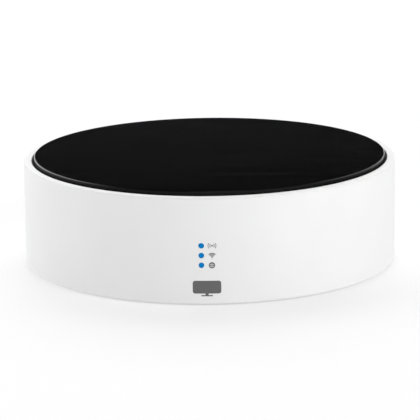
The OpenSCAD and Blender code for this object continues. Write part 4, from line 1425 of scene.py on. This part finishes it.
STEPS = 64
rows = 8 * round((thread_y1 - thread_y0) / THREAD_PITCH)
profile_y = [thread_y0 + (thread_y1 - thread_y0) * i / rows for i in range(rows + 1)]
verts = []
for s in range(STEPS):
    turn = s / STEPS
    a = 2 * math.pi * turn
    line = [(BORE_R, bore_y), (NECK_R, bore_y), (NECK_R, thread_y0 - 0.05 * MM)]
    line += [(thread_r(turn, y), y) for y in profile_y]
    line += [(COAX_R - 0.45 * MM, jack_hi.y - 0.05 * MM), (COAX_R - 0.55 * MM, jack_hi.y)]
    line += [(BORE_R + 0.15 * MM, jack_hi.y), (BORE_R, jack_hi.y - 0.15 * MM)]
    verts += [(coax_x + r * math.cos(a), y, coax_z + r * math.sin(a)) for r, y in line]
m = len(line)
faces = []
for s in range(STEPS):
    n = (s + 1) % STEPS
    faces += [(s * m + k, n * m + k, n * m + (k + 1) % m, s * m + (k + 1) % m) for k in range(m)]
barrel = mesh_object("barrel", verts, faces)
block = box_mesh("jack_block", jack_lo, (jack_hi.x, panel_back, jack_lo.z + JACK_BLOCK))
soften(block, 0.4 * MM)
apply_modifiers(block)
combine(block, [bored("bore", coax_x, coax_z, BORE_R, bore_y, panel_back + OVER)])
combine(barrel, [block], "UNION")
barrel.name = "aerial_jack"
dress(barrel, turned_nickel, stands_for=["coax_jack"])
print("thread has", round((thread_y1 - thread_y0) / THREAD_PITCH, 1), "turns")


# %% [markdown]
# ### Nut, insulator and centre contact
# A nut's corners are cut by a cone, which leaves curved edges on its flats, so a hexagon is
# crossed with a spun chamfered disc. The insulator is dished towards the contact's mouth.

# %% Nut, insulator and contact
nut_lo, nut_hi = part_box("coax_nut")
NUT_R = 6.35 * MM
hexagon = arc(coax_x, coax_z, NUT_R, 0, 300, 5)
nut = prism_y("hex_nut", hexagon, nut_lo.y, nut_hi.y)
cone = [(0, nut_lo.y), (NUT_R - 0.1 * MM, nut_lo.y), (NUT_R + 0.02 * MM, nut_lo.y + 0.2 * MM)]
cone += [(NUT_R + 0.02 * MM, nut_hi.y - 0.45 * MM), (NUT_R - 0.75 * MM, nut_hi.y), (0, nut_hi.y)]
combine(nut, [lathe("cone", cone, 96, place=along_y(coax_x, coax_z))], "INTERSECT")
combine(nut, [bored("nut_bore", coax_x, coax_z, NECK_R, nut_lo.y - OVER, nut_hi.y + OVER)])
dress(nut, turned_nickel, stands_for=["coax_nut"])

plug_lo, plug_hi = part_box("coax_insulator")
PIN_R = 0.9 * MM
core = [(PIN_R, plug_lo.y), (BORE_R, plug_lo.y), (BORE_R, plug_hi.y - 0.2 * MM)]
core += [(BORE_R - 0.2 * MM, plug_hi.y)]
core += [(1.9 * MM, plug_hi.y), (1.3 * MM, plug_hi.y - 0.7 * MM), (PIN_R, plug_hi.y - 0.75 * MM)]
core_part = lathe("aerial_insulator", core, 64, loop=True, place=along_y(coax_x, coax_z))
dress(core_part, insulator, stands_for=["coax_insulator"])

tip_lo, tip_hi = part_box("coax_contact")
socket = [(0, tip_lo.y), (PIN_R, tip_lo.y), (PIN_R, tip_hi.y - 0.15 * MM), (PIN_R - 0.12 * MM, tip_hi.y)]
socket += [(0.6 * MM, tip_hi.y), (0.5 * MM, tip_hi.y - 0.3 * MM)]
socket += [(0.5 * MM, panel_y + 2 * MM), (0, panel_y + 1.7 * MM)]
contact = lathe("aerial_contact", socket, 40, place=along_y(coax_x, coax_z))
dress(contact, gold, stands_for=["coax_contact"])
print("nut is", round((nut_hi.z - nut_lo.z) / MM, 1), "mm across its flats")


# %% [markdown]
# ## Power inlet
# The inlet is a black moulding with a round nose. Its mouth is chamfered to lead the plug in, a
# sprung metal strip lies on one side of the bore, and the centre pin ends in a dome.

# %% Power inlet
inlet_lo, inlet_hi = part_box("dc_jack_body")
dc_x = dc_mid.x
dc_z = dc_mid.z
pin_lo, pin_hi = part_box("dc_jack_pin")
DC_BORE = 3.2 * MM
inlet = box_mesh("inlet", inlet_lo, (inlet_hi.x, panel_back, inlet_hi.z))
soften(inlet, 0.3 * MM)
apply_modifiers(inlet)
nose = [(0, panel_back - OVER), (4 * MM, panel_back - OVER), (4 * MM, inlet_hi.y - 0.25 * MM)]
nose += [(3.75 * MM, inlet_hi.y), (0, inlet_hi.y)]
combine(inlet, [lathe("nose", nose, 72, place=along_y(dc_x, dc_z))], "UNION")
mouth = [(0, pin_lo.y), (DC_BORE, pin_lo.y), (DC_BORE, inlet_hi.y - 0.3 * MM)]
mouth += [(3.5 * MM, inlet_hi.y), (3.6 * MM, inlet_hi.y + OVER), (0, inlet_hi.y + OVER)]
combine(inlet, [lathe("mouth", mouth, 72, place=along_y(dc_x, dc_z))])
dress(inlet, socket_black, stands_for=["dc_jack_body"])

DC_PIN = 1.05 * MM
dome = [(0, pin_lo.y), (DC_PIN, pin_lo.y)] + arc(0, pin_hi.y - DC_PIN, DC_PIN, 0, 90, 8)
dc_pin = lathe("inlet_pin", dome, 48, place=along_y(dc_x, dc_z))
dress(dc_pin, turned_nickel, stands_for=["dc_jack_pin"])
leaf = spring("inlet_spring", dc_x, dc_z - DC_BORE + 0.06 * MM, (pin_lo.y + inlet_hi.y) / 2 - 0.5 * MM,
              1.8 * MM, 7.5 * MM, 0.6 * MM, 0.15 * MM)
dress(leaf, nickel)
print("inlet pin is", round(2 * DC_PIN / MM, 1), "mm thick")


# %% [markdown]
# ## Buttons
# The power button's cap is dished for a fingertip and carries an engraved ring with a stroke,
# the usual sign for standby. The cap is spun, and the sign is cut into it, because an engraving
# catches light in its walls as a painted line can't.

# %% Power button
cap_lo, cap_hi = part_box("power_button")
POWER_R = 3.2 * MM
FLANGE_R = 4.1 * MM
dish = [(POWER_R - 0.45 * MM, cap_hi.y), (POWER_R * 0.6, cap_hi.y - 0.16 * MM)]
dish += [(POWER_R * 0.3, cap_hi.y - 0.24 * MM), (0, cap_hi.y - 0.26 * MM)]
cap = [(0, cap_lo.y), (FLANGE_R - 0.1 * MM, cap_lo.y), (FLANGE_R, cap_lo.y + 0.1 * MM)]
cap += [(FLANGE_R, cap_lo.y + 0.9 * MM), (FLANGE_R - 0.1 * MM, cap_lo.y + OVER), (POWER_R, cap_lo.y + OVER)]
cap += arc(POWER_R - 0.4 * MM, cap_hi.y - 0.4 * MM, 0.4 * MM, 0, 90, 6) + dish
power_cap = lathe("power_cap", cap, 96, place=along_y(button_mid.x, button_mid.z))
ring_outline = []
SIGN_OPEN = 34
SIGN_DEEP = 0.45 * MM
for r, back in ((1.45 * MM, False), (1.15 * MM, True)):
    points = arc(button_mid.x, button_mid.z, r, 90 + SIGN_OPEN, 450 - SIGN_OPEN, 36)
    ring_outline += list(reversed(points)) if back else points
groove = prism_y("groove", ring_outline, cap_hi.y - SIGN_DEEP, cap_hi.y + OVER)
stroke_w = 0.15 * MM
stroke = prism_y("stroke", round_box(
    button_mid.x - stroke_w, button_mid.x + stroke_w, button_mid.z + 0.35 * MM, button_mid.z + 1.75 * MM,
    0.1 * MM), cap_hi.y - SIGN_DEEP, cap_hi.y + OVER)
combine(power_cap, [groove, stroke])
dress(power_cap, button_black, "power_button", ["power_button"])
print("power button is", round(2 * POWER_R / MM, 1), "mm wide")
cover(["power_plunger"], insulator, 0.2 * MM)


# %% [markdown]
# ### Reset plunger
# It is a short rod with a domed end, seen only through the pin hole.

# %% Reset plunger
stem_lo, stem_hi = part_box("reset_plunger")
STEM_R = 1.75 * MM
stem = [(0, stem_lo.y), (STEM_R - 0.2 * MM, stem_lo.y), (STEM_R, stem_lo.y + 0.2 * MM)]
stem += arc(STEM_R - 0.6 * MM, stem_hi.y - 0.6 * MM, 0.6 * MM, 0, 90, 6) + [(0, stem_hi.y)]
reset_stem = lathe("reset_stem", stem, 48, place=along_y(reset_mid.x, reset_mid.z))
dress(reset_stem, socket_black, "reset_plunger", ["reset_plunger"])
print("two controls on bodies of their own")


# %% [markdown]
# ## The studio
# The player stands on a light table: a white sheet that glows a little from below, which is how
# small white goods are shown without a hard dark line under them. It glows more strongly further
# out, so that the far edge melts into the bright room. The room is a soft dome with a dim ceiling,
# so that the front of the plate's chamfer stays dark, and it is brighter towards the front right,
# where the wall catches most light. Five softboxes shape the rest.

# %% Light table
FLOOR_R = 6.0
FLOOR_T = 0.02
FLOOR_SIDES = 64
GLOW_NEAR = 0.53
GLOW_FAR = 1.0
floor_outline = arc(0, 0, FLOOR_R, 0, 360 - 360 / FLOOR_SIDES, FLOOR_SIDES - 1)
floor = prism("floor", floor_outline, -FLOOR_T, 0.0)
light_table = finish(
    "light_table", grey(0.42), 0.8, Emission_Color=(1, 1, 1, 1), Emission_Strength=GLOW_NEAR)
vary_roughness(light_table, noise(light_table, 3, 2), 0.75, 0.85)
spot = node(light_table, "ShaderNodeTexCoord")
away = node(light_table, "ShaderNodeVectorMath", operation="LENGTH")
link(light_table, spot, "Object", away, 0)
glow = node(light_table, "ShaderNodeMapRange", From_Min=0.35, From_Max=1.4, To_Min=GLOW_NEAR,
            To_Max=GLOW_FAR)
link(light_table, away, "Value", glow, "Value")
link(light_table, glow, "Result", shader_of(light_table), "Emission Strength")
floor.data.materials.append(light_table)
print("light table is", 2 * FLOOR_R, "m across")


# %% [markdown]
# ### Light from the room
# Each side of the room glows in a broad soft lobe: a direction's share is the square of how far
# it points that way. The camera itself always sees white behind the player.

# %% Room light
scene = bpy.context.scene
scene.view_settings.view_transform = "Standard"
room = bpy.data.worlds.new("room")
room.use_nodes = True
scene.world = room
tree = room.node_tree
background = tree.nodes["Background"]
way = tree.nodes.new("ShaderNodeTexCoord")
split = tree.nodes.new("ShaderNodeSeparateXYZ")
tree.links.new(way.outputs["Generated"], split.inputs[0])
way_x, way_y, way_z = split.outputs


def sky_math(kind, a, b):
    """One sum in the room's light, of two outputs or numbers."""
    made = tree.nodes.new("ShaderNodeMath")
    made.operation = kind
    for slot, value in zip(made.inputs, (a, b)):
        if isinstance(value, (int, float)):
            slot.default_value = value
        else:
            tree.links.new(value, slot)
    return made.outputs[0]


def bright_side(azimuth, strength):
    """Light from one side of the room, from 0 at the front round towards the right, in degrees."""
    a = math.radians(azimuth)
    across = sky_math("MULTIPLY", way_x, math.sin(a))
    along = sky_math("ADD", across, sky_math("MULTIPLY", way_y, -math.cos(a)))
    return sky_math("MULTIPLY", sky_math("POWER", sky_math("MAXIMUM", along, 0.0), 2.0), strength)


CEILING_FROM = 0.65
CEILING_TO = 0.85
dimming = {"From Min": CEILING_FROM, "From Max": CEILING_TO, "To Min": 1.0, "To Max": 0.0}
ceiling = tree.nodes.new("ShaderNodeMapRange")
for socket, value in dimming.items():
    ceiling.inputs[socket].default_value = value
tree.links.new(way_z, ceiling.inputs["Value"])
walls = ceiling.outputs["Result"]
sides = sky_math("ADD", bright_side(45, 1.2), bright_side(-135, 1.14))
sides = sky_math("ADD", sides, bright_side(150, 0.55))
room_light = sky_math("MULTIPLY", sides, walls)
seen = tree.nodes.new("ShaderNodeLightPath")
backdrop = sky_math("MAXIMUM", room_light, seen.outputs["Is Camera Ray"])
tree.links.new(backdrop, background.inputs["Color"])
print("room light has", len(tree.nodes), "nodes")


# %% [markdown]
# ### Softboxes
# Each is an area light given by its place, its size in metres and its power in watts. Large boxes
# near the player give soft edges to shade and long reflections in the chamfer.

# %% Softboxes
def softbox(name, place, size, power, aim=(0, 0, 0.02)):
    """A rectangular area light that points at the player."""
    lamp = bpy.data.lights.new(name, "AREA")
    lamp.shape = "RECTANGLE"
    lamp.size, lamp.size_y = size
    lamp.energy = power
    obj = bpy.data.objects.new(name, lamp)
    obj.location = place
    obj.rotation_euler = (Vector(aim) - Vector(place)).to_track_quat("-Z", "Y").to_euler()
    scene.collection.objects.link(obj)
    return obj


softbox("softbox_front_right", (1.1, -1.0, 0.7), (0.9, 0.9), 6.7)
softbox("softbox_front_high", (0.1, -1.1, 1.6), (1.2, 0.8), 6.8)
softbox("softbox_left", (-1.3, 0.1, 0.5), (0.8, 0.8), 6.7)
softbox("softbox_back", (0.2, 1.5, 1.1), (1.6, 0.8), 8.4)
softbox("softbox_back_high", (0.1, 1.0, 1.7), (1.6, 0.8), 13.0)
print("five softboxes are lit")


# %% [markdown]
# ## The camera
# A long lens from about a metre away, a little above the player, keeps the drum's sides upright.
# Its place follows from a distance, a turn and a rise, so that one number moves it one way. The
# slight roll is what a tripod set up by eye gives.

# %% Camera
CAMERA_AWAY = 1.009
CAMERA_TURN = math.radians(1.15)
CAMERA_RISE = math.radians(13.47)
CAMERA_ROLL = math.radians(-0.72)
AIM = Vector((0, 0, 0.0197))
lens = bpy.data.cameras.new("camera")
lens.lens = 212.7
lens.sensor_width = 36
camera = bpy.data.objects.new("camera", lens)
scene.collection.objects.link(camera)
reach = CAMERA_AWAY * math.cos(CAMERA_RISE)
camera.location = AIM + Vector((
    reach * math.sin(CAMERA_TURN), -reach * math.cos(CAMERA_TURN), CAMERA_AWAY * math.sin(CAMERA_RISE)))
look = (AIM - camera.location).to_track_quat("-Z", "Y").to_matrix().to_4x4()
camera.rotation_euler = (look @ Matrix.Rotation(CAMERA_ROLL, 4, "Z")).to_euler()
scene.camera = camera
print("camera at", [round(value, 3) for value in camera.location])
